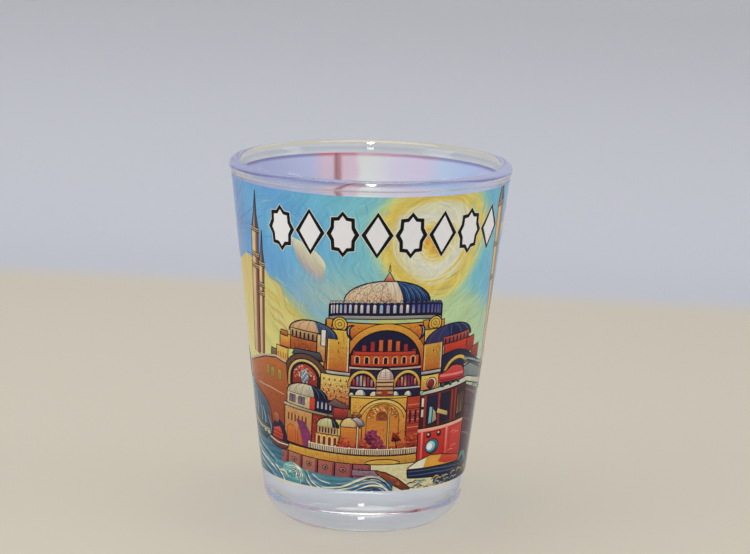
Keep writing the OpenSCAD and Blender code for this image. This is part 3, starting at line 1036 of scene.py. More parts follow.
def pier(x0, x1, low="#C4602C", top="#EFC950"):
    """A tall pier with a round gold head."""
    middle = (x0 + x1) / 2
    wall(x0 - 0.35, 36.1, x0 + 0.75, 37.9, "#C6702E", "#E0A03C")
    outlined("stone_walls", box(x0 + 0.6, 35.8, x1 - 0.5, 37.0), "#D9A03A", "#EBBE4A")
    outlined("stone_walls", oval(middle + 0.1, 37.1, 1.3, 1.3), "#E2AB3C", "#F2CD5C")
    key(oval(middle + 0.1, 37.15, 0.85, steps=12), 0.12)
    key(oval(middle + 0.1, 37.15, 0.35, steps=8), 0.12)
    wall(x0, 29.0, x1, 36.2, low, top, 0.22)
    lay("pale_trim", [(x0 + 0.08, 29.1), (x0 + 0.32, 29.1), (x0 + 0.3, 36.0), (x0 + 0.12, 36.0)],
        "#F0B26A", "#F6E08A")
    lay("pale_trim", box(x1 - 0.3, 29.1, x1 - 0.1, 36.0), "#E0D4BC", "#F0D890")
    for z in (33.9, 32.4):
        lay("windows", oval(middle + 0.05, z, 0.12, 0.24, steps=8), "#4A1E1E")
    specks(x0 + 0.5, 30.0, x1 - 0.5, 35.8, 24, "#B8742C", 0.09)
    hatching(x0 + 1.8, 29.8, x1 - 0.4, 35.6, 40, "#B8702A", 0.08)
    outlined("pale_trim", box(x0 - 0.35, 28.35, x1 + 0.3, 28.95), "#8E8C94", "#E2DCCB", 0.16)


pier(-6.7, -2.9)
pier(10.05, 13.8)
for flip in (-1, 1):
    # Dark curled shadows fill the corners between the arch and the piers.
    x = ARCH_X + flip * 5.5
    shade = curve([(x, 37.2), (x + flip * 0.9, 36.7), (x + flip * 0.9, 35.4), (x + flip * 0.2, 34.6)], 3)
    lay("hall_recess", stroke(shade, 0.7, 0.9), "#1C1A38")
    lay("pale_trim", stroke(shade[2:7], 0.14, 0.9), "#C9CBD8")
print("sheets so far:", stacked.max())

# %% [markdown]
# To each side of the hall stand half domes on arcaded rings, stepped blocks and long walls.
# The left side is in the sun and the right side in deep shade, so the two are painted from
# different colours.

# %% Left side of the hall
def arcade(x0, x1, z0, high, count, ink, top):
    """A wall pierced by a row of arches."""
    wall(x0, z0, x1, z0 + high, ink, top, 0.18)
    windows(x0 + 0.5, x1 - 0.5, count, z0 + 0.12, (x1 - x0) / count * 0.42, high * 0.72)


dome(-9.6, 34.4, 4.6, 2.6, "#E6C79A", "#C98A5C", "#4E6284", "#2A2E50", 0.1, 7)
arcade(-13.9, -7.3, 33.5, 1.5, 8, "#8E4A30", "#DDB878")
wall(-13.8, 31.3, -7.6, 33.5, "#9E4428", "#C97238")
hatching(-13.5, 31.8, -8.0, 33.4, 60, "#6E3020", 0.1)
wall(-16.2, 31.2, -13.8, 33.6, "#C85A2C", "#EDC158")
wall(-16.0, 33.2, -14.4, 34.1, "#8C3F26", "#D98F3C")
wall(-17.0, 28.4, -14.3, 31.1, "#D98C38", "#F0D26A")
lay("pen_shade", [arched(-16.6 + 0.62 * k, 29.2, 0.2, 0.9, 3) for k in range(4)], "#B0702E")
wall(-18.4, 28.3, -17.0, 30.2, "#4A3A34", "#8A7A60")
wall(-8.6, 30.2, -7.0, 34.9, "#B8622E", "#EFD08A")
wall(-7.9, 33.0, -7.0, 35.8, "#E6DCC8", "#F2EAD8")
outlined("pale_trim", [(-13.4, 30.5), (-7.4, 30.3), (-8.0, 31.7), (-12.8, 31.6)], "#2E2A38", "#5E6068")
outlined("stone_walls", [(-27, 24.6), (-24.5, 25.9), (-20.3, 27.9), (-17.2, 28.9), (-13.8, 28.4), (-13.8, 15),
                         (-27, 15)], "#8E3428", "#C2703A")
lay("pale_trim", stroke([(-27, 24.9), (-24.5, 26.2), (-20.3, 28.2), (-17.2, 29.0), (-14.0, 28.5)], 0.34),
    "#C9B9A0")
key([(-27, 24.6), (-24.5, 25.9), (-20.3, 27.9), (-17.2, 28.7), (-14.0, 28.2)], 0.16, False)
for x in (-19.4, -18.0, -16.2):
    inked("wall_tiles", arched(x, 25.0, 1.0, 1.9, 5), "#8E8A3C", "#B8A04A", 0.1, pen="#6E3A22")
    lay("wall_tiles", oval(x, 25.8, 0.22, steps=6), "#C9603A")
hatching(-26, 16.5, -14.2, 24.6, 200, "#6E2420", 0.25)
hatching(-25, 21.5, -14.5, 27.2, 120, "#9E4E2C", 0.25)
lay("pale_trim", stroke([(-23, 22.4), (-18.5, 22.9), (-15.0, 22.7)], 0.2, 0.5), "#D9B98E")

# The tall arch with a rosette of tiles, set in a curved gable.
GABLE_X, GABLE_Z, GABLE_R = -10.7, 26.6, 3.5
outlined("pale_trim", [(-14.6, 28.3)] + oval(GABLE_X, GABLE_Z, GABLE_R + 0.9, start=155, end=25, steps=12)
         + [(-7.0, 27.6), (-7.2, 25.0), (-14.2, 25.0)], "#5A3430", "#6A4A3E", 0.18)
for piece, z, rx, rz, foot_z, steps, ink, top, wide in (
        ("stone_walls", GABLE_Z, GABLE_R, GABLE_R, 24.8, 16, "#C98F44", "#E6CB7C", 0.2),
        ("windows", GABLE_Z, 2.9, 2.9, 24.8, 14, "#1C1630", "#241C3C", 0.2),
        ("wall_tiles", GABLE_Z + 0.1, 2.45, 2.5, 25.2, 12, "#8E2C2C", "#B8452E", 0.12)):
    opening = oval(GABLE_X, z, rx, rz, 0, 180, steps) + [(GABLE_X - rx, foot_z), (GABLE_X + rx, foot_z)]
    outlined(piece, opening, ink, top, wide)
for tone in ("#E0A08A", "#D9603C", "#7E2A3C", "#C98A4A", "#E8C8A8"):
    dabs = []
    for _ in range(11):
        r, a = random.uniform(0.9, 2.2), math.radians(random.uniform(-15, 195))
        dabs.append(oval(GABLE_X + r * math.cos(a), GABLE_Z + 0.4 + r * math.sin(a) * 0.85, 0.17, steps=5))
    lay("wall_tiles", dabs, tone)
outlined("wall_tiles", oval(GABLE_X, 27.0, 0.85, 1.35, steps=12), "#5A6E8A", "#B8C2C8", 0.1)
for first, tone in enumerate(("#2A3558", "#E9E2CC", "#7F9AB8")):
    lay("wall_tiles", [box(-11.35 + 0.26 * k, 25.95 + 0.36 * row, -11.17 + 0.26 * k, 26.2 + 0.36 * row)
                       for k in range(5) for row in range(6) if (k + 2 * row) % 3 == first], tone)
print("sheets so far:", stacked.max())

# %% [markdown]
# The right side is the same kind of building in deep shade, in navy, plum and dark red.
# Long roof lines run down from it behind the tram.

# %% Right side of the hall
dome(15.6, 33.6, 5.4, 2.9, "#27407C", "#3A2E5A", "#1D2A5C", "#161433", -0.2, 6)
arcade(13.9, 20.4, 32.9, 1.5, 7, "#7E2430", "#D9604A")
wall(14.2, 31.0, 20.6, 33.1, "#B82A26", "#E0452C")
wall(19.8, 30.4, 22.2, 33.0, "#8E2228", "#D03A2C")
wall(21.6, 28.4, 24.4, 30.9, "#7A1E2A", "#C2382E")
outlined("hall_recess", curve([(13.8, 31.2), (17.0, 31.6), (20.0, 30.8), (22.6, 29.0), (26.5, 26.8)], 3)
         + [(26.5, 25.0), (13.8, 25.0)], "#241C3A", "#1C2046")
lay("stone_walls", stroke(oval(17.6, 26.9, 3.2, 3.3, 20, 165, 12), 0.55), "#C98A3A", "#F0C85A")
key(oval(17.6, 26.9, 3.55, 3.65, 20, 165, 12), 0.14, False)
for k in range(7):
    # Long roof lines sweep down to the right behind the tram.
    z = 29.6 - 0.62 * k
    sweep = curve([(19.4 + 0.1 * k, z), (22.0, z - 0.9), (26.0, z - 2.6), (29.5, z - 3.6)], 4)
    lay("far_shore", stroke(sweep, 0.42, 0.4), ["#8FA0A2", "#4C5A66", "#B9C2BC", "#5E6E74"][k % 4])
    key([(x, z + 0.22) for x, z in sweep], 0.12, False, 0.6)
print("sheets so far:", stacked.max())

# %% [markdown]
# In front of the hall is a lower row: a spotted gold block, two smaller arches with coloured
# glass, a cream dome on a striped lantern, and a gold gatehouse with a tall arch.

# %% Lower buildings
wall(-7.7, 22.5, -2.5, 28.3, "#B8382A", "#F0D878", 0.22)
lay("pen_shade", [oval(-7.1 + k * 0.98 + 0.3 * (row % 2), 27.4 - row * 0.95, 0.14, 0.24, steps=6)
                  for row in range(5) for k in range(5)], "#5E2A26")
specks(-7.4, 23.0, -2.8, 26.6, 110, "#B8482A", 0.12)
specks(-7.4, 24.6, -2.8, 28.0, 40, "#F6E8A0", 0.1)

wall(-2.5, 24.6, 9.7, 29.6, "#211C3E", "#2A2444", 0.2, "hall_recess")
for x, inks in ((-0.4, ("#8C2C3C", "#C9452E", "#7FA8C8", "#E0B48A")),
                (7.2, ("#7A2A48", "#B8343C", "#E0A07A", "#8A3A5A"))):
    lay("stone_walls", stroke(oval(x, 26.7, 2.3, 2.6, 0, 180, 14), 0.5), "#D98A34", "#F2CC62")
    key(oval(x, 26.7, 2.55, 2.85, 0, 180, 14), 0.15, False)
    inked("windows", oval(x, 26.7, 2.0, 2.2, 0, 180, 12), "#3A1A34", "#241838", 0.16, False)
    for k in range(6):
        side = -1.5 + 0.6 * k
        lay("coloured_glass", arched(x + side, 26.8, 0.36, 1.85 - 0.3 * side * side, 4), inks[k % 4],
            inks[(k + 1) % 4])
outlined("pale_trim", box(-2.5, 26.2, 9.7, 26.6), "#A79CB4", "#E0D4D8", 0.13)
for x, r in ((-0.7, 1.0), (1.6, 0.8), (5.2, 0.8), (7.5, 0.75), (-2.2, 0.5)):
    dome(x, 25.0, r, r * 1.25, "#F4F0DC", "#D9CFA0", "#9FB8C8", "#6F86A8", 0.3, 1)
wall(1.9, 24.9, 4.9, 28.0, "#B87A4A", "#E6CBA0", 0.18, "pale_trim")
lay("pen_shade", [box(2.0, 25.2 + 0.72 * k, 4.8, 25.5 + 0.72 * k) for k in range(4)], "#6E2C2A")
lay("windows", arched(3.4, 25.0, 1.1, 1.1), "#A8392C")
dome(3.4, 28.0, 1.5, 1.95, "#F2E9D4", "#D9B8A4", "#D9CFC8", "#B08A8A", 0.35, 4)
for k in range(3):
    hoop = [(2.3 + 0.1 * k, 28.5 + 0.4 * k), (3.4, 28.35 + 0.4 * k), (4.5 - 0.1 * k, 28.5 + 0.4 * k)]
    key(hoop, 0.08, False, 0.6, "#A87A78")

wall(-2.3, 15.4, 7.4, 24.9, "#D0642E", "#EDBB50", 0.22)
outlined("pale_trim", box(-2.3, 24.7, 7.4, 25.1), "#E0A83C", "#F4D67C", 0.14)
hatching(-2.0, 16.6, 7.2, 24.2, 150, "#B04E28", 0.1)
lay("stone_walls", stroke(oval(3.3, 20.4, 4.1, 3.9, 12, 168, 16), 0.5), "#E0963A", "#F4D67A")
key(oval(3.3, 20.4, 4.4, 4.2, 12, 168, 16), 0.2, False)
key(oval(3.3, 20.4, 3.8, 3.6, 12, 168, 16), 0.1, False)
inked("stone_walls", arched(3.3, 15.6, 5.6, 8.2, 12), "#DD8A3A", "#D98A3C", 0.12)
for tone in ("#7E3A24", "#F4DC90", "#B8622A", "#8E4A2A"):
    # A band of small leaves carved round the inner arch.
    dabs = []
    for _ in range(26):
        a, r = math.radians(random.uniform(8, 172)), random.uniform(1.7, 2.75)
        dabs.append(oval(3.3 + r * math.cos(a), 20.9 + r * math.sin(a), 0.15, 0.11, steps=6))
    lay("pen_shade", dabs, tone)
inked("windows", arched(3.1, 20.9, 1.7, 1.5), "#A8522E", wide=0.12)
key(oval(3.1, 21.6, 0.5, steps=8), 0.1)
wall(7.4, 15.4, 9.9, 24.8, "#B03A2E", "#C2452E", 0.2)
for first, tone in enumerate(("#7A2430", "#E08A5A")):
    lay("pen_shade", [box(7.6, 16.0 + 0.66 * k, 9.8, 16.16 + 0.66 * k) for k in range(first, 12, 2)], tone)
windows(8.1, 9.1, 2, 20.2, 0.42, 2.2, "#2A1730")
print("sheets so far:", stacked.max())

# %% [markdown]
# Nearer still are a low domed building, a garden kiosk, lamps, shrubs and a railing along
# the quay.

# %% Garden and kiosks
wall(-14.8, 13.4, -8.9, 21.4, "#B0522C", "#D9A868", 0.22)
specks(-14.6, 19.9, -9.2, 21.2, 30, "#A85A30", 0.1)
windows(-13.9, -10.2, 6, 18.6, 0.32, 1.3, "#7A3424")
for k in range(3):
    bay = arched(-13.2 + 2.3 * k, 13.6, 1.9, 4.3)
    inked("stone_walls", bay, "#B8482A", "#DD7E36", 0.1, pen="#8E3A24")
lay("wall_shade", [(-12.2, 19.2), (-10.3, 19.0), (-8.8, 16.4), (-8.3, 14.4), (-10.6, 14.6), (-11.4, 17.4)],
    "#8E3A5E", "#7A3A6A")
wall(-9.0, 14.4, -4.8, 21.4, "#B83A2C", "#8E2A2C", 0.2)
hatching(-9.0, 15.0, -5.0, 20.8, 40, "#D9602E", 0.2)
wall(-14.3, 21.4, -5.2, 23.7, "#CFB488", "#DDCDA4", 0.2)
lay("wall_shade", box(-9.6, 21.5, -8.6, 23.6), "#C23A28", "#D9522C")
lay("wall_shade", box(-8.6, 21.5, -5.3, 23.6), "#1A1632", "#221C3E")
for x in (-13.1, -11.2):
    outlined("windows", box(x - 0.62, 22.0, x + 0.62, 23.3), "#8A7088", "#6A5A78", 0.14)
    key([(x, 22.0), (x, 23.3)], 0.1, False)
lay("coloured_glass", [arched(-8.0 + 0.75 * k, 22.0, 0.3, 1.2, 4) for k in range(4)], "#C9C2D0", "#8FA6C8")
outlined("pale_trim", [(-15.0, 21.0), (-5.0, 20.8), (-5.0, 21.3), (-15.0, 21.6)], "#7E6A58", "#D9C8A0", 0.15)
dome(-10.3, 23.7, 4.0, 2.1, "#E2D8B8", "#B0A48E", "#2A2238", "#1A1530", 0.2, 7)
hatching(-14.0, 21.6, -9.8, 24.9, 50, "#6E6A6A", 0.3, 0.07)
wall(-5.2, 20.6, -2.6, 22.6, "#5A2030", "#C9483A", 0.16)
outlined("pale_trim", [(-6.4, 23.0), (-3.4, 22.5), (-2.4, 22.9), (-5.0, 24.2)], "#5A4048", "#8E6A60", 0.15)

dome(-2.2, 19.4, 1.7, 1.75, "#F0DA9C", "#D9B070", "#E0B87A", "#C27A4A", 0.3, 1)
wall(-3.8, 15.4, -0.2, 19.4, "#C9502C", "#E0903E", 0.16)
leaves(-1.2, 21.4, 0.9, ("#6E2A24", "#E0A84A"), 8)
wall(-8.3, 15.0, -4.0, 17.7, "#C4702E", "#DBA254", 0.18)
windows(-7.6, -4.7, 4, 15.1, 0.55, 2.2, "#7E2E24", "#F0D490")
wall(-8.0, 17.7, -4.3, 19.1, "#D9B07A", "#B88A6A", 0.16)
windows(-7.5, -4.8, 6, 17.9, 0.26, 1.0, "#2E2030")
dome(-6.1, 19.0, 2.0, 1.6, "#E2E6B0", "#B8B070", "#242038", "#1A1430", 0.25, 4)
finial(-6.1, 20.6, 0.22)

hatching(3.0, 15.6, 9.6, 19.6, 70, "#A8382A", 0.15)
lay("wall_shade", box(-3.9, 15.2, 9.9, 16.3), "#B03E2C", "#C95436")
for shrub in ((-3.0, 16.0, 1.2, ("#B8402E", "#E0704A")), (1.5, 17.2, 1.5, ("#7A2A4E", "#A8486E")),
              (2.6, 15.9, 1.3, ("#8E2E4A", "#B8526A")), (-0.2, 15.9, 1.2, ("#A83A3A", "#D0603E")),
              (8.3, 16.1, 1.6, ("#A8362E", "#CF5A3A")), (6.8, 15.8, 1.0, ("#B8452E", "#DD7A44")),
              (5.7, 17.4, 0.9, ("#6A1E24", "#A8322A"))):
    leaves(*shrub, 12)
key([(5.9, 15.6), (5.8, 16.6), (5.6, 17.6)], 0.22, False)


def lamp_post(x, z0, z1, ink="#E9D9A8"):
    """A street lamp's fluted post: a dark line with a pale one down it."""
    key([(x, z0), (x, (z0 + z1) / 2), (x, z1)], 0.42, False)
    lay("pale_trim", stroke([(x + 0.02, z0), (x + 0.02, (z0 + z1) / 2), (x + 0.02, z1)], 0.18), ink)


lamp_post(-0.9, 15.5, 19.8)
outlined("lamp_hoods", curve([(-2.1, 20.9), (-1.2, 20.4), (-0.8, 19.6), (0.2, 19.9), (-0.2, 20.8),
                              (-1.2, 21.3)], 3), "#3A3048", "#D9D0D8", 0.14)
lamp_post(4.3, 15.5, 22.3, "#E9C26A")
print("sheets so far:", stacked.max())

# %% [markdown]
# The quay runs round the front: a railing, a gold ledge, a pale street and a stone
# embankment of square panels with an iron disc in each.

# %% Quay
wall(-16.5, 12.9, 9.8, 14.6, "#C9863A", "#EDBE50", 0.2, "quay")
hatching(-14, 13.4, 9.5, 14.5, 60, "#A8622C", 0.6)
key([(-16.5, 14.3), (-6.0, 14.6), (9.8, 14.6)], 0.28, False)
lay("quay", box(-9.5, 14.7, 9.8, 15.7), "#5A3A34")
bars = [box(-9.38 + 0.33 * k, 14.75, -9.2 + 0.33 * k, 15.55) for k in range(58)]
lay("railing", bars, "#E2C9A4", "#F4E6C8")
lay("key_lines", [box(-9.62 + 2.4 * k, 14.65, -9.18 + 2.4 * k, 16.05) for k in range(9)], KEY)
lay("railing", [box(-9.52 + 2.4 * k, 14.7, -9.28 + 2.4 * k, 15.95) for k in range(9)], "#C9A27A", "#F0DDB8")
lay("railing", stroke([(-9.6, 15.65), (0, 15.7), (9.8, 15.65)], 0.16), "#F4E8CC")
outlined("quay", oval(3.6, 13.1, 3.1, 0.85, 0, 180, 12), "#F0CE6A", "#E0A23E", 0.16)
lay("quay", oval(3.6, 13.0, 2.4, 0.5, 0, 180, 12), "#D9A84A")
outlined("quay", box(-1.5, 11.9, 13.0, 13.0), "#E6DDA0", "#F2E9B8", 0.16)
lay("quay", box(-0.3, 8.0, 14.0, 12.0), "#EDE6BC", "#E9E0AE")
for k in range(6):
    x = -16.9 + 3.1 * k
    tone = ["#A86A5E", "#B8745A", "#C2805E", "#BC6E5C", "#B0625C", "#A85A60"][k]
    wall(x, 10.4, x + 3.0, 13.0, blend_hex(tone, "#6A3A50", 0.35), tone, 0.18, "quay")
    lay("wall_shade", box(x + 2.55, 10.5, x + 2.92, 12.9), "#7A3446", "#9A4A50")
    outlined("quay", oval(x + 1.35, 11.8, 0.52, 0.42, steps=10), "#8E5A5A", "#C99A88", 0.12)
    lay("windows", oval(x + 1.4, 11.82, 0.24, 0.2, steps=8), "#2E2230")
    specks(x + 0.3, 10.7, x + 2.5, 12.7, 8, "#8E5048", 0.08)
wall(-1.5, 10.9, 2.9, 12.0, "#8A6A80", "#A88A94", 0.16, "quay")
specks(-1.2, 11.0, 2.7, 11.9, 22, "#6E5068", 0.1)
beam = [(2.2, 12.0), (4.2, 11.6), (6.4, 10.4), (8.6, 8.6), (8.6, 7.6), (5.4, 9.4), (3.0, 11.2)]
outlined("quay", beam, "#6E2E22", "#A8522E", 0.2)
hatching(3.0, 9.6, 7.6, 11.4, 14, "#D98A52", 1.2)
print("sheets so far:", stacked.max())

# %% [markdown]
# Below the quay the water curls in long striped waves. Each wave is a bundle of brush lines
# that follow one curve, in blues and cream by turns. The crests go over them, each with a
# thin pen line under it.

# %% Water
def ripple(points, count, gap, wide, inks, taper=0.6):
    """A bundle of wave lines, each a little below the last, like combed paint."""
    line = curve(points, 5)
    for k in range(count):
        lay("water_lines", stroke([(x, z - gap * k) for x, z in line], wide, taper), inks[k % len(inks)])


lay("water", box(-30, 2, -15.5, 15.5), "#2C5474", "#3F7C92")
lay("water", box(-27, 6.0, -0.2, 10.5), "#3F6E88", "#5E9CA8")
lay("water", box(-0.4, 6.0, 5.6, 10.0), "#22304E", "#3A5A7C")
lay("water", oval(-12.6, 9.2, 2.6, 1.9, steps=16), "#4E9AA0", "#8CC9C2")
BLUES = ["#8FB8CC", "#22304E", "#5E94B4", "#E9E4CC", "#3E6C92"]
ripple([(-26, 12.4), (-22.5, 11.2), (-19.5, 10.9), (-16.8, 10.2)], 7, 0.62, 0.34, BLUES)
ripple([(-17.4, 9.9), (-16.0, 9.2), (-14.9, 8.2), (-14.4, 7.2)], 4, 0.55, 0.3, BLUES[2:])
ripple([(-9.9, 10.4), (-8.8, 9.2), (-6.6, 8.3), (-3.8, 8.2), (-0.6, 9.0), (2.2, 9.6)], 4, 0.42, 0.26, BLUES)
ripple([(-8.6, 10.5), (-7.2, 9.7), (-5.2, 9.4)], 3, 0.34, 0.2, BLUES[2:])
ripple([(-4.0, 9.2), (-1.6, 9.8), (0.4, 10.7), (2.6, 10.9), (4.2, 10.0), (5.4, 8.6)], 6, 0.36, 0.24, BLUES)
for points, wide in (([(-12.6, 11.0), (-11.3, 10.4), (-10.7, 9.2), (-10.9, 7.6)], 0.42),
                     ([(-9.7, 10.6), (-9.0, 9.0), (-7.0, 7.9), (-4.0, 7.7)], 0.3),
                     ([(-6.8, 8.1), (-3.4, 8.7), (-0.8, 9.9), (1.2, 10.8), (3.0, 10.7)], 0.42),
                     ([(-16.2, 8.6), (-14.8, 8.9), (-13.6, 8.2)], 0.4),
                     ([(-0.2, 8.6), (1.6, 9.3), (3.6, 9.1), (4.8, 8.2)], 0.34)):
    lay("wave_crests", stroke(curve(points), wide, 0.9), "#EDE9CF")
    key([(x, z - wide * 0.62) for x, z in curve(points)], 0.13, False, 0.8)
for turn in range(3):
    # The curl of the breaking wave: broken rings inside each other.
    r = 1.5 - 0.42 * turn
    lay("wave_crests", stroke(oval(-12.5, 9.3, r, r * 0.82, -60, 150, 10), 0.22, 0.9),
        ["#DDE9DC", "#B8D6D2", "#F2EED6"][turn])
    key(oval(-12.5, 9.3, r - 0.17, (r - 0.17) * 0.82, -50, 140, 10), 0.11, False, 0.8)
specks(-14.0, 8.4, -11.0, 10.2, 30, "#2E5A72", 0.13, "water_lines")
specks(-14.2, 8.3, -11.2, 10.4, 18, "#E9EAD6", 0.12, "wave_crests")
print("sheets so far:", stacked.max())

# %% [markdown]
# Moored boats fill the lower left corner: a dark heap of nets, two wooden hulls and a small
# red boat with planks. Each hull has a painted strip below its edge.

# %% Boats at the quay
def hull(x, z, long, deep, ink, top, strip):
    """A wooden boat seen from the side, with a painted strip below its edge."""
    outline = curve([(x - long / 2, z + deep), (x - long * 0.36, z + deep * 0.2), (x, z),
                     (x + long * 0.36, z + deep * 0.16), (x + long / 2, z + deep)], 4)
    outlined("boats", outline, ink, top, 0.2)
    lay("boats", stroke([(x - long * 0.46, z + deep * 0.78), (x, z + deep * 0.6),
                         (x + long * 0.46, z + deep * 0.78)], deep * 0.16, 0.3), strip)


lay("boats", [(-27, 22.5), (-23.4, 21.0), (-19.4, 19.6), (-18.4, 15.0), (-20, 12.8), (-27, 12.8)],
    "#24384E", "#3F6E86")
for k in range(11):
    x, z = -25.6 + 0.68 * k, 20.6 - 0.35 * k
    lay("boats", stroke(curve([(x - 0.8, z + 0.3), (x + 0.3, z - 1.6), (x + 0.2, z - 4.4)], 4), 0.34, 0.7),
        ["#6E9CB4", "#1A2A42", "#8FB4C0", "#2E5A72", "#3A3A5E"][k % 5])
key(curve([(-24.0, 21.4), (-19.3, 19.8), (-18.1, 15.6), (-19.0, 13.2)], 4), 0.22, False)
hull(-22.6, 12.9, 8.0, 2.6, "#1E3A52", "#2F6A82", "#E0B078")
outlined("boats", curve([(-18.6, 14.0), (-17.9, 16.4), (-16.6, 17.7), (-15.2, 17.1), (-14.2, 15.2),
                         (-14.4, 13.7)], 4), "#1A1634", "#26204A", 0.2)
lay("boats", [(-17.9, 13.9), (-15.4, 13.7), (-15.2, 15.4), (-16.0, 16.6), (-17.7, 15.9)],
    "#B8322C", "#D9503A")
for k in range(3):
    lay("boats", box(-17.7, 14.2 + 0.62 * k, -15.3, 14.38 + 0.62 * k), "#7E1E26")
lay("boats", oval(-16.9, 18.0, 0.7, 0.9, steps=10), "#8E4A3A", "#C2764A")
hull(-16.4, 12.7, 5.6, 1.5, "#5A2A34", "#8E4A42", "#E6D9B8")
for x, z, r in ((-20.6, 14.3, 0.5), (-19.3, 14.4, 0.6), (-21.9, 14.5, 0.45)):
    outlined("boats", oval(x, z, r, r * 0.8, steps=9), "#7FB8B4", "#D9D2A0", 0.12)
print("sheets so far:", stacked.max())

# %% [markdown]
# A tram comes round the corner on the right. First come its dark side and the cab, with
# narrow red posts between the windows, and the road in shade under it.

# %% Tram side and windows
lay("tram_skirt", [(13.6, 12.4), (30, 12.4), (30, 2), (13.6, 2)], "#5A5248", "#3E3040")
specks(14, 7.5, 24, 10.4, 40, "#C9B98A", 0.2)
outlined("tram_body", [(9.9, 18.2), (21.0, 18.0), (26.5, 15.8), (26.5, 9.0), (20, 9.0), (10.2, 10.5)],
         "#4A2434", "#5E2A38", 0.2)
lay("tram_body", [(20.6, 24.6), (27.5, 21.5), (27.5, 9), (20.6, 9.6)], "#3F2A40", "#5A3E4E")
for k in range(5):
    plank = [(20.8, 23.6 - 2.6 * k), (23.5, 22.4 - 2.6 * k), (26.0, 21.0 - 2.6 * k)]
    lay("tram_trim", stroke(plank, 0.4, 0.7), ["#7A6470", "#2A1E34", "#6E4A5A"][k % 3])
outlined("tram_windows", box(9.9, 18.5, 20.8, 24.9), "#3E1824", "#561F2A", 0.22)
for x0, x1, ink, top in ((11.3, 13.5, "#1A1630", "#202444"), (14.1, 16.4, "#1A1630", "#201E3E"),
                         (18.2, 20.4, "#2A1A2C", "#3A2430")):
    wall(x0, 19.4, x1, 24.3, ink, top, 0.14, "tram_windows")
for x in (10.9, 13.8, 16.9, 17.8):
    lay("tram_trim", box(x - 0.24, 18.9, x + 0.24, 24.6), "#8E2A2A", "#A83C34")
    key([(x - 0.3, 18.9), (x - 0.3, 24.6)], 0.1, False)
lay("tram_trim", box(10.2, 20.9, 10.6, 24.2), "#D9D2BC", "#F4F0DE")
lay("tram_windows", box(10.2, 22.2, 10.6, 22.7), "#1E1828")
lay("tram_trim", [(11.7, 19.5), (12.3, 19.6), (12.4, 22.3), (11.9, 22.5)], "#6FB4BC", "#9CD2D4")
lay("tram_trim", [(12.5, 19.6), (13.4, 20.0), (13.1, 21.4), (12.6, 22.0)], "#A89478", "#C9BEA0")
lay("tram_trim", [(13.4, 21.2), (15.9, 20.2), (15.9, 20.9), (13.6, 21.9)], "#C9A25A", "#E2C888")
for k, tone in enumerate(("#C9963A", "#7A5A4A", "#A8884A", "#5A4A4A")):
    lay("tram_trim", box(18.5 + 0.5 * k, 19.8, 18.7 + 0.5 * k, 23.4), tone, "#6E4A3A")
print("sheets so far:", stacked.max())

# %% [markdown]
# Over the windows are a pale cornice, a gold corner block with a round mark, and a red board
# that carries nothing but a light and a dark line.

# %% Tram roof and board
outlined("tram_roof", [(9.8, 24.7), (14.8, 24.9), (20.8, 25.0), (28, 22.2), (28, 23.4), (20.8, 26.0),
                       (14.0, 25.7), (10.4, 25.4)], "#A8A89C", "#E9E4D2", 0.2)
outlined("tram_roof", [(17.0, 25.9), (20.8, 26.0), (28, 23.4), (28, 25.0), (21.5, 28.2), (19.8, 28.0)],
         "#5A6A6E", "#8A9A98", 0.16)
wall(9.8, 25.6, 13.4, 28.2, "#D9863A", "#F2D268", 0.2, "tram_roof")
specks(10.0, 25.7, 13.2, 26.8, 16, "#C2522E", 0.16)
specks(10.0, 26.8, 11.6, 28.0, 10, "#C9A23A", 0.1)
outlined("tram_trim", oval(11.9, 26.7, 1.0, 1.0, steps=14), "#EDE3C4", wide=0.16)
outlined("tram_trim", oval(11.8, 26.6, 0.7, 0.78, steps=12), "#6E1A24", "#A8322E", 0.12)
board = [(13.4, 26.4), (19.6, 26.0), (19.8, 27.2), (18.9, 28.4), (17.6, 28.9), (16.3, 29.0), (15.0, 28.3),
         (13.3, 27.9)]
outlined("tram_roof", board, "#C2242E", "#E0524A", 0.2)
lay("tram_trim", [(13.7, 27.4), (19.4, 26.9), (19.3, 27.3), (13.7, 27.8)], "#E68A84")
lay("tram_trim", [(13.8, 26.7), (19.3, 26.3), (19.3, 26.5), (13.8, 26.9)], "#7E1622")
for x in (14.4, 16.2, 18.3):
    outlined("tram_trim", box(x - 0.3, 25.5, x + 0.3, 26.2), "#2A2A34", "#4A6A5E", 0.1)
print("sheets so far:", stacked.max())

# %% [markdown]
# The front is in glossy red coach enamel. Its lamp has a teal rim, and a painted guard with
# a sharp nose sits over the dark skirt. Loose stones and litter lie on the road below.

# %% Tram front
outlined("tram_body", [(9.7, 12.6), (20.4, 11.6), (20.6, 18.3), (9.8, 18.5)], "#B81E26", "#D9382C", 0.22)
lay("tram_body", [(16.4, 12.0), (20.3, 11.7), (20.5, 18.2), (16.4, 18.3)], "#C22A2C", "#D8483C")
lay("tram_trim", [(9.7, 18.2), (20.6, 18.0), (20.6, 18.5), (9.7, 18.75)], "#F0A08A", "#F4D2B0")
key([(9.7, 18.9), (15, 18.85), (20.7, 18.6)], 0.16, False)
for x0, x1 in ((10.4, 10.75), (15.8, 16.3)):
    lay("tram_trim", box(x0, 13.0, x1, 18.2), "#D9504A", "#F0948A")
for x0, z0, x1, z1 in ((16.9, 12.6, 19.9, 17.7), (11.1, 13.4, 15.5, 17.9)):
    key(box(x0, z0, x1, z1), 0.12, ink="#8E1420")
for x, z in ((17.9, 16.6), (18.8, 16.2), (18.3, 14.0), (17.4, 13.4)):
    lay("tram_trim", stroke(oval(x, z, 0.8, 0.3, 0, 180, 6), 0.14, 0.8), "#F08478")
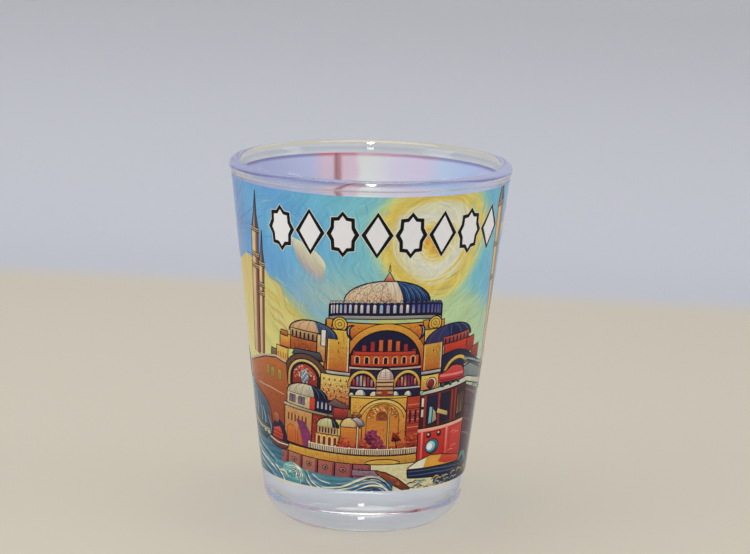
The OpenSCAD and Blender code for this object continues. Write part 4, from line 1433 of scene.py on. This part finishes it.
for x in (12.0, 14.2):
    outlined("tram_trim", oval(x, 17.4, 0.5, 0.55, steps=10), "#2A1A20", "#5A3434", 0.1)
    lay("tram_trim", oval(x - 0.1, 17.55, 0.2, 0.2, steps=7), "#F0D9D0")
outlined("tram_trim", oval(12.8, 15.3, 1.45, 1.3, steps=18), "#123A4A", "#2F8A94", 0.16)
lay("tram_trim", oval(12.5, 15.3, 0.98, 0.95, steps=14), "#5A9AB0", "#BFE2E4")
lay("tram_trim", oval(12.3, 15.35, 0.62, 0.62, steps=12), "#F6FAF6")
outlined("tram_body", [(8.1, 12.1), (9.9, 13.1), (12.6, 13.8), (15.2, 13.4), (20.2, 11.9), (20.2, 10.9),
                       (14, 11.5), (8.4, 11.8)], "#E9A83A", "#E2A242", 0.18)
lay("tram_body", [(8.3, 12.1), (10.0, 13.0), (11.9, 13.5), (11.2, 11.8), (8.6, 11.9)], "#F6F2E2", "#E2E8B8")
lay("tram_body", [(15.2, 13.3), (20.1, 11.9), (20.1, 11.0), (16.2, 11.5), (14.4, 12.2)], "#C92A26", "#DD5A2E")
skirt = [(8.0, 11.8), (14, 11.4), (21.5, 10.4), (21.5, 8.0), (19, 7.8), (16, 9.4), (8.2, 10.3)]
outlined("tram_skirt", skirt, "#10122A", "#1E2A4A")
for z in (11.1, 10.4):
    lay("tram_trim", stroke([(8.3, z + 0.3), (14, z), (20.8, z - 1.1)], 0.16, 0.5), "#4E6A92")
outlined("tram_skirt", [(17.8, 9.7), (21.6, 8.6), (24.5, 7.0), (17.8, 7.0)], "#10122A", "#2A3450", 0.16)
for tone in ("#10122A", "#8FA4B8", "#4A3A34", "#C9B98A"):
    litter = []
    for _ in range(12):
        x, z = random.uniform(8.4, 21.5), random.uniform(7.4, 9.4)
        litter += stroke(curve([(x - 0.7, z - 0.1), (x, z + 0.3), (x + 0.8, z + 0.1)], 3), 0.22, 0.8)
    lay("tram_trim", litter, tone)
lay("boats", stroke(curve([(20.6, 10.6), (21.4, 11.6), (22.6, 11.2), (23.4, 9.8)], 4), 0.9, 0.7), "#4E8A86")
lay("boats", stroke(curve([(21.0, 9.6), (22.2, 10.2), (23.6, 9.4)], 4), 0.5, 0.7), "#2E5A66")
print("sheets so far:", stacked.max())

# %% [markdown]
# The back of the band goes on with the same view, away from the hall: open water, low
# hills, an arched bridge, sailing boats, a round light tower and a row of coloured houses.
# It is painted in the same inks, so the whole band reads as one picture.

# %% The back of the band
random.seed(23)
for x0, x1 in ((FIRST_X - 1, -26.5), (26.5, LAST_X + 1)):
    lay("water", box(x0, 2, x1, 21.5), "#2C5C82", "#7FB8BC")
    for tone in BLUES + BLUES:
        swells = []
        for _ in range(9):
            x, z = random.uniform(x0 + 3, x1 - 3), random.uniform(8.6, 21)
            swell = curve([(x - 2.6, z), (x - 1.0, z + 0.35), (x + 0.8, z - 0.1), (x + 2.6, z + 0.2)], 3)
            swells += stroke(swell, 0.28, 0.9)
        lay("water_lines", swells, tone)


print("sheets so far:", stacked.max())

# %% [markdown]
# Town houses stand along both far shores. Each is a wall, a tiled roof and a few courses of
# windows, in one of five pairs of colours.

# %% Town houses
def house(x, z, wide, high, ink, roof):
    """A plain town house with a tiled roof and a row of windows for every whole 2 mm of its height."""
    wall(x, z, x + wide, z + high, blend_hex(ink, "#7A3A34", 0.3), ink, 0.18, "stone_walls")
    outlined("domes", [(x - 0.3, z + high), (x + wide + 0.3, z + high), (x + wide * 0.76, z + high + 1.2),
                       (x + wide * 0.24, z + high + 1.2)], roof, blend_hex(roof, "#F0C890", 0.3), 0.18)
    for row in range(max(1, int(high / 2))):
        count = max(2, int(wide / 1.1))
        windows(x + 0.7, x + wide - 0.7, count, z + 0.5 + 2.0 * row, 0.45, 1.05, NAVY, CREAM)


HOUSES = [("#D98A3C", "#8E2E2A"), ("#C9522C", "#4A2A3A"), ("#EDC76A", "#A8432A"), ("#B8432E", "#5E6A7A"),
          ("#E0A45A", "#7A2E34")]
x = 28.6
while x < 46:
    wide, high = random.uniform(2.6, 4.0), random.uniform(3.4, 6.6)
    house(x, 20.2, wide, high, *HOUSES[int(x) % 5])
    x += wide + 0.15
x = -44.5
while x < -30:
    wide, high = random.uniform(2.6, 4.2), random.uniform(3.0, 5.6)
    house(x, 19.6, wide, high, *HOUSES[int(-x) % 5])
    x += wide + 0.15
for x in (31, 37.5, 44, -33, -40):
    leaves(x, 19.6, 1.5, ("#4E2A4A", "#B8546A"), 9)
print("sheets so far:", stacked.max())

# %% [markdown]
# The bridge has three spans. The stones round each arch are pale and red by turns.

# %% Bridge
for x0 in (-60.5, -54, -47.5):
    wall(x0, 15.6, x0 + 6.6, 21.8, "#8E4A3E", "#DD9A58", 0.2, "quay")
    middle = x0 + 3.3
    inked("water", oval(middle, 15.4, 2.5, 4.4, 0, 180, 14), "#2C4E72", "#6FA8B4", 0.2, False)
    for first, tone in enumerate(("#E9C48A", "#B8623C")):
        stones = []
        for a in (math.radians(180 * (k + 0.5) / 11) for k in range(first, 11, 2)):
            joint = [(middle + r * math.cos(a), 15.4 + (r + 1.9) * math.sin(a)) for r in (2.6, 3.1)]
            stones += stroke(joint, 0.5)
        lay("wall_tiles", stones, tone)
    lay("railing", stroke([(x0, 22.0), (middle, 22.1), (x0 + 6.6, 22.0)], 0.4), "#F0DDB4")
    key([(x0, 22.25), (middle, 22.35), (x0 + 6.6, 22.25)], 0.14, False)
print("sheets so far:", stacked.max())

# %% [markdown]
# The sailing boats are small, so each is only a hull, a mast, two sails and a pennant.

# %% Sailing boats
def sail_boat(x, z, size, sail, shade):
    """A small boat with one bent sail and a pennant."""
    hull(x, z, 4.6 * size, 1.1 * size, "#4A2230", "#8E3A34", "#EDD9A8")
    key([(x + 0.1, z + 1.0 * size), (x + 0.1, z + 4 * size), (x + 0.1, z + 7.6 * size)], 0.2, False)
    for luff, reach, leech, foot in ((0.3, 7.2, ((2.1, 4.4), (2.3, 1.5)), 1.4),
                                     (-0.1, 6.6, ((-1.3, 3.6), (-1.9, 1.5)), 1.6)):
        edge = [(x + luff, z + reach * size)] + [(x + a * size, z + b * size) for a, b in leech]
        outlined("boats", curve(edge) + [(x + luff, z + foot * size)], shade, sail, 0.18)
    pennant = [(x + a, z + b * size) for a, b in ((0.1, 7.6), (1.1 * size, 7.3), (0.1, 7.0))]
    lay("boats", pennant, "#C9322C")


for boat in ((33.5, 12.2, 1.0, "#F4EBD0", "#D9A27A"), (43.5, 10.4, 1.25, "#E9C46A", "#C2603A"),
             (-34.5, 11.4, 1.1, "#F2E6C8", "#B88A9A"), (-44, 13.2, 0.9, "#E58A4A", "#A83A34"),
             (64.5, 10.6, 1.0, "#F4EED8", "#9AB0C0")):
    sail_boat(*boat)
print("sheets so far:", stacked.max())

# %% [markdown]
# A round light tower in red and white bands stands on a rock near the seam. A few gulls fly
# over the water, each two small strokes of the pen.

# %% Light tower and gulls
leaves(55.5, 18.4, 3.2, ("#5A3A4A", "#A8705E"), 14)
for k in range(6):
    z = 20.4 + 2.6 * k
    half = 1.9 - 0.13 * k
    outlined("slim_towers", [(54.6 - half, z), (54.6 + half, z), (54.6 + half - 0.13, z + 2.6),
                             (54.6 - half + 0.13, z + 2.6)], *(("#C2382E", "#DD5A3A") if k % 2 else
                                                               ("#E0D2B0", "#F6EFD8")), 0.18)
wall(53.0, 36.0, 56.2, 36.6, "#4A3A44", "#8E7A7A", 0.16, "slim_towers")
wall(53.7, 36.6, 55.5, 38.7, "#EDC76A", "#F8EEB8", 0.16, "slim_towers")
key([(54.6, 36.6), (54.6, 38.7)], 0.12, False)
dome(54.6, 38.7, 1.25, 1.3, "#D9604A", "#A8322E", "#7A1E2A", "#4A1622", 0.3, 3)
finial(54.6, 40.0, 0.3)
for x, z in ((48.5, 38), (50.2, 39.6), (63.2, 43), (-49, 46), (-47.2, 44.8), (36.5, 45.5)):
    wings = [(x - 0.9, z + 0.3), (x - 0.4, z + 0.5), (x, z), (x + 0.4, z + 0.5), (x + 0.9, z + 0.3)]
    key(curve(wings, 3), 0.16, False, 0.8)
print("sheets so far:", stacked.max())

# %% [markdown]
# A row of eight plain stars and lozenges runs over the picture, white with a thick black
# edge, in the same places as the CAD ornaments. They lie on the topmost sheets. A thin pale
# halo round each keeps its edge clear of the sky, as a printer's knockout does.

# %% Row of ornaments
ROW_Z, ROW_STEP, ROW_TURN = 52.6, 14.2, 10.5
ORNAMENT_H, ORNAMENT_W, EDGE_W = 7.8, 5.5, 0.8
STAR_NOTCH, LOZENGE_PART, HALO = 0.8, 0.96, 0.14


def star(points, wide, high, notch, x):
    """A star outline with a point at the top; two points make a lozenge."""
    spots = []
    for k in range(2 * points):
        a, size = math.radians(90 + 180 * k / points), (notch if k % 2 else 1) / 2
        spots.append((x + wide * size * math.cos(a), ROW_Z + high * size * math.sin(a)))
    return spots


def unrolled(x, z):
    """The flat place that is rolled onto a given spot of the band."""
    flat_x, flat_z = x, z
    for _ in range(6):
        there = rolled(flat_x, flat_z)
        flat_x, flat_z = flat_x + x - there[0], flat_z + z - there[1]
    return flat_x, flat_z


ornament_count = 8
for k in range(ornament_count):
    turn = ROW_TURN + (k - (ornament_count - 1) / 2) * ROW_STEP
    to_wall = DRAWN_R / wall_r(ROW_Z)
    x = math.radians(turn) * DRAWN_R
    shape = (8, STAR_NOTCH) if k % 2 == 0 else (2, LOZENGE_PART)
    for trim, piece, ink in ((-2 * HALO, "row_halo", "#F4F2E6"), (0, "ornament_outline_ink", "#08070A"),
                             (2 * EDGE_W, "ornament_fill_ink", "#FDFDFF")):
        spots = star(shape[0], (ORNAMENT_W - trim) * to_wall, ORNAMENT_H - trim, shape[1], x)
        lay(piece, [unrolled(*spot) for spot in spots], ink)
print("sheets so far:", stacked.max())

# %% [markdown]
# Each kind of area has its own marks: courses of stone on walls, short dabs on leaves, long
# wavering lines on water, cloudy shading on domes and a nearly even coat on the tram. Sizes
# are in millimetres of artwork.

# %% Marks of each kind of ink
def stone_marks(tree, flat):
    """Stones 0.9 by 0.4 mm, each a little lighter or darker, in thin dark joints."""
    drift = add(tree, "TexNoise", {"Vector": flat}, {"Scale": 1 / 2.5, "Detail": 2})
    near = add(tree, "VectorMath", {0: drift.outputs["Color"], 2: flat}, {1: (0.3, 0.3, 0)},
               operation="MULTIPLY_ADD").outputs[0]
    stones = add(tree, "TexBrick", {"Vector": near}, {
        "Color1": (1, 1, 1, 1), "Color2": (0.55, 0.55, 0.55, 1), "Mortar": (0.2, 0.2, 0.2, 1), "Scale": 1.0,
        "Mortar Size": 0.035, "Brick Width": 0.9, "Row Height": 0.4}).outputs["Color"]
    wash = add(tree, "TexNoise", {"Vector": flat}, {"Scale": 1 / 0.7, "Detail": 4}).outputs["Fac"]
    return add(tree, "MixRGB", {1: stones, 2: wash}, {0: 0.55}, blend_type="MIX").outputs[0]


def dab_marks(tree, flat):
    """Round dabs 0.35 mm apart."""
    cells = add(tree, "TexVoronoi", {"Vector": flat}, {"Scale": 1 / 0.35}, feature="SMOOTH_F1")
    dabs = cells.outputs["Distance"]
    wash = add(tree, "TexNoise", {"Vector": flat}, {"Scale": 1 / 0.9, "Detail": 3}).outputs["Fac"]
    return add(tree, "MixRGB", {1: dabs, 2: wash}, {0: 0.5}).outputs[0]


def wave_marks(tree, flat):
    """Level lines 0.5 mm apart that waver."""
    waves = add(tree, "TexWave", {"Vector": flat}, {"Scale": 1 / 3.1, "Distortion": 5, "Detail": 2,
                "Detail Scale": 0.6}, bands_direction="Y").outputs["Fac"]
    wash = add(tree, "TexNoise", {"Vector": flat}, {"Scale": 1 / 1.2, "Detail": 3}).outputs["Fac"]
    return add(tree, "MixRGB", {1: waves, 2: wash}, {0: 0.5}).outputs[0]


def upright_marks(tree, flat):
    """Upright brush lines 0.25 mm apart."""
    thin = add(tree, "VectorMath", {0: flat}, {1: (4, 0.35, 1)}, operation="MULTIPLY").outputs[0]
    return add(tree, "TexNoise", {"Vector": thin}, {"Scale": 1, "Detail": 3}).outputs["Fac"]


def even_marks(tree, flat):
    """A coat that is even but for slow clouds 2 mm wide."""
    return add(tree, "TexNoise", {"Vector": flat}, {"Scale": 1 / 2, "Detail": 4}).outputs["Fac"]


print("five kinds of marks are ready")

# %% [markdown]
# Last, every kind of area is given its ink and printed: cut, wrapped round the wall and
# coloured. The sheets share the thickness of the CAD's colour coat evenly.

# %% Print every piece
INKS = {"brushed_sky_ink": sky_paint,
        "mottled_stone_ink": print_ink("mottled_stone_ink", stone_marks, 0.62, 1.25),
        "dabbed_leaf_ink": print_ink("dabbed_leaf_ink", dab_marks, 0.5, 1.6),
        "combed_water_ink": print_ink("combed_water_ink", wave_marks, 0.6, 1.4),
        "drawn_wash_ink": print_ink("drawn_wash_ink", upright_marks, 0.6, 1.4),
        "enamel_red_ink": print_ink("enamel_red_ink", even_marks, 0.75, 1.3, 0.1),
        "key_line_ink": print_ink("key_line_ink", even_marks, 0.8, 1.2),
        "ornament_black_ink": print_ink("ornament_black_ink", even_marks, 0.8, 1.2),
        "ornament_white_ink": print_ink("ornament_white_ink", even_marks, 0.98, 1.06, 0.16)}
PRINTED_WITH = {
    "brushed_sky_ink": ["sky_strokes", "sun_whirl", "clouds", "row_halo"],
    "mottled_stone_ink": ["stone_walls", "quay", "wall_tiles", "pale_trim", "railing", "hall_recess"],
    "dabbed_leaf_ink": ["shrubs", "wall_shade"],
    "combed_water_ink": ["water", "water_lines", "wave_crests", "far_shore"],
    "drawn_wash_ink": ["slim_towers", "domes", "dome_ring", "windows", "coloured_glass", "lamp_hoods",
                       "boats", "pen_shade"],
    "enamel_red_ink": ["tram_body", "tram_windows", "tram_roof", "tram_trim", "tram_skirt"],
    "key_line_ink": ["key_lines"]}
top_sheet = int(stacked.max())
sheet_t = (ink_t - FIRST_INK - 0.002) / top_sheet
print(f"{top_sheet} sheets, {1000 * sheet_t:.1f} thousandths of a millimetre apart")
for ink_name, pieces in PRINTED_WITH.items():
    for piece in pieces:
        print_piece(piece, INKS[ink_name], sheet_t)
print_piece("ornament_outline_ink", INKS["ornament_black_ink"], sheet_t, "ornament_outline")
print_piece("ornament_fill_ink", INKS["ornament_white_ink"], sheet_t, "ornament_fill")
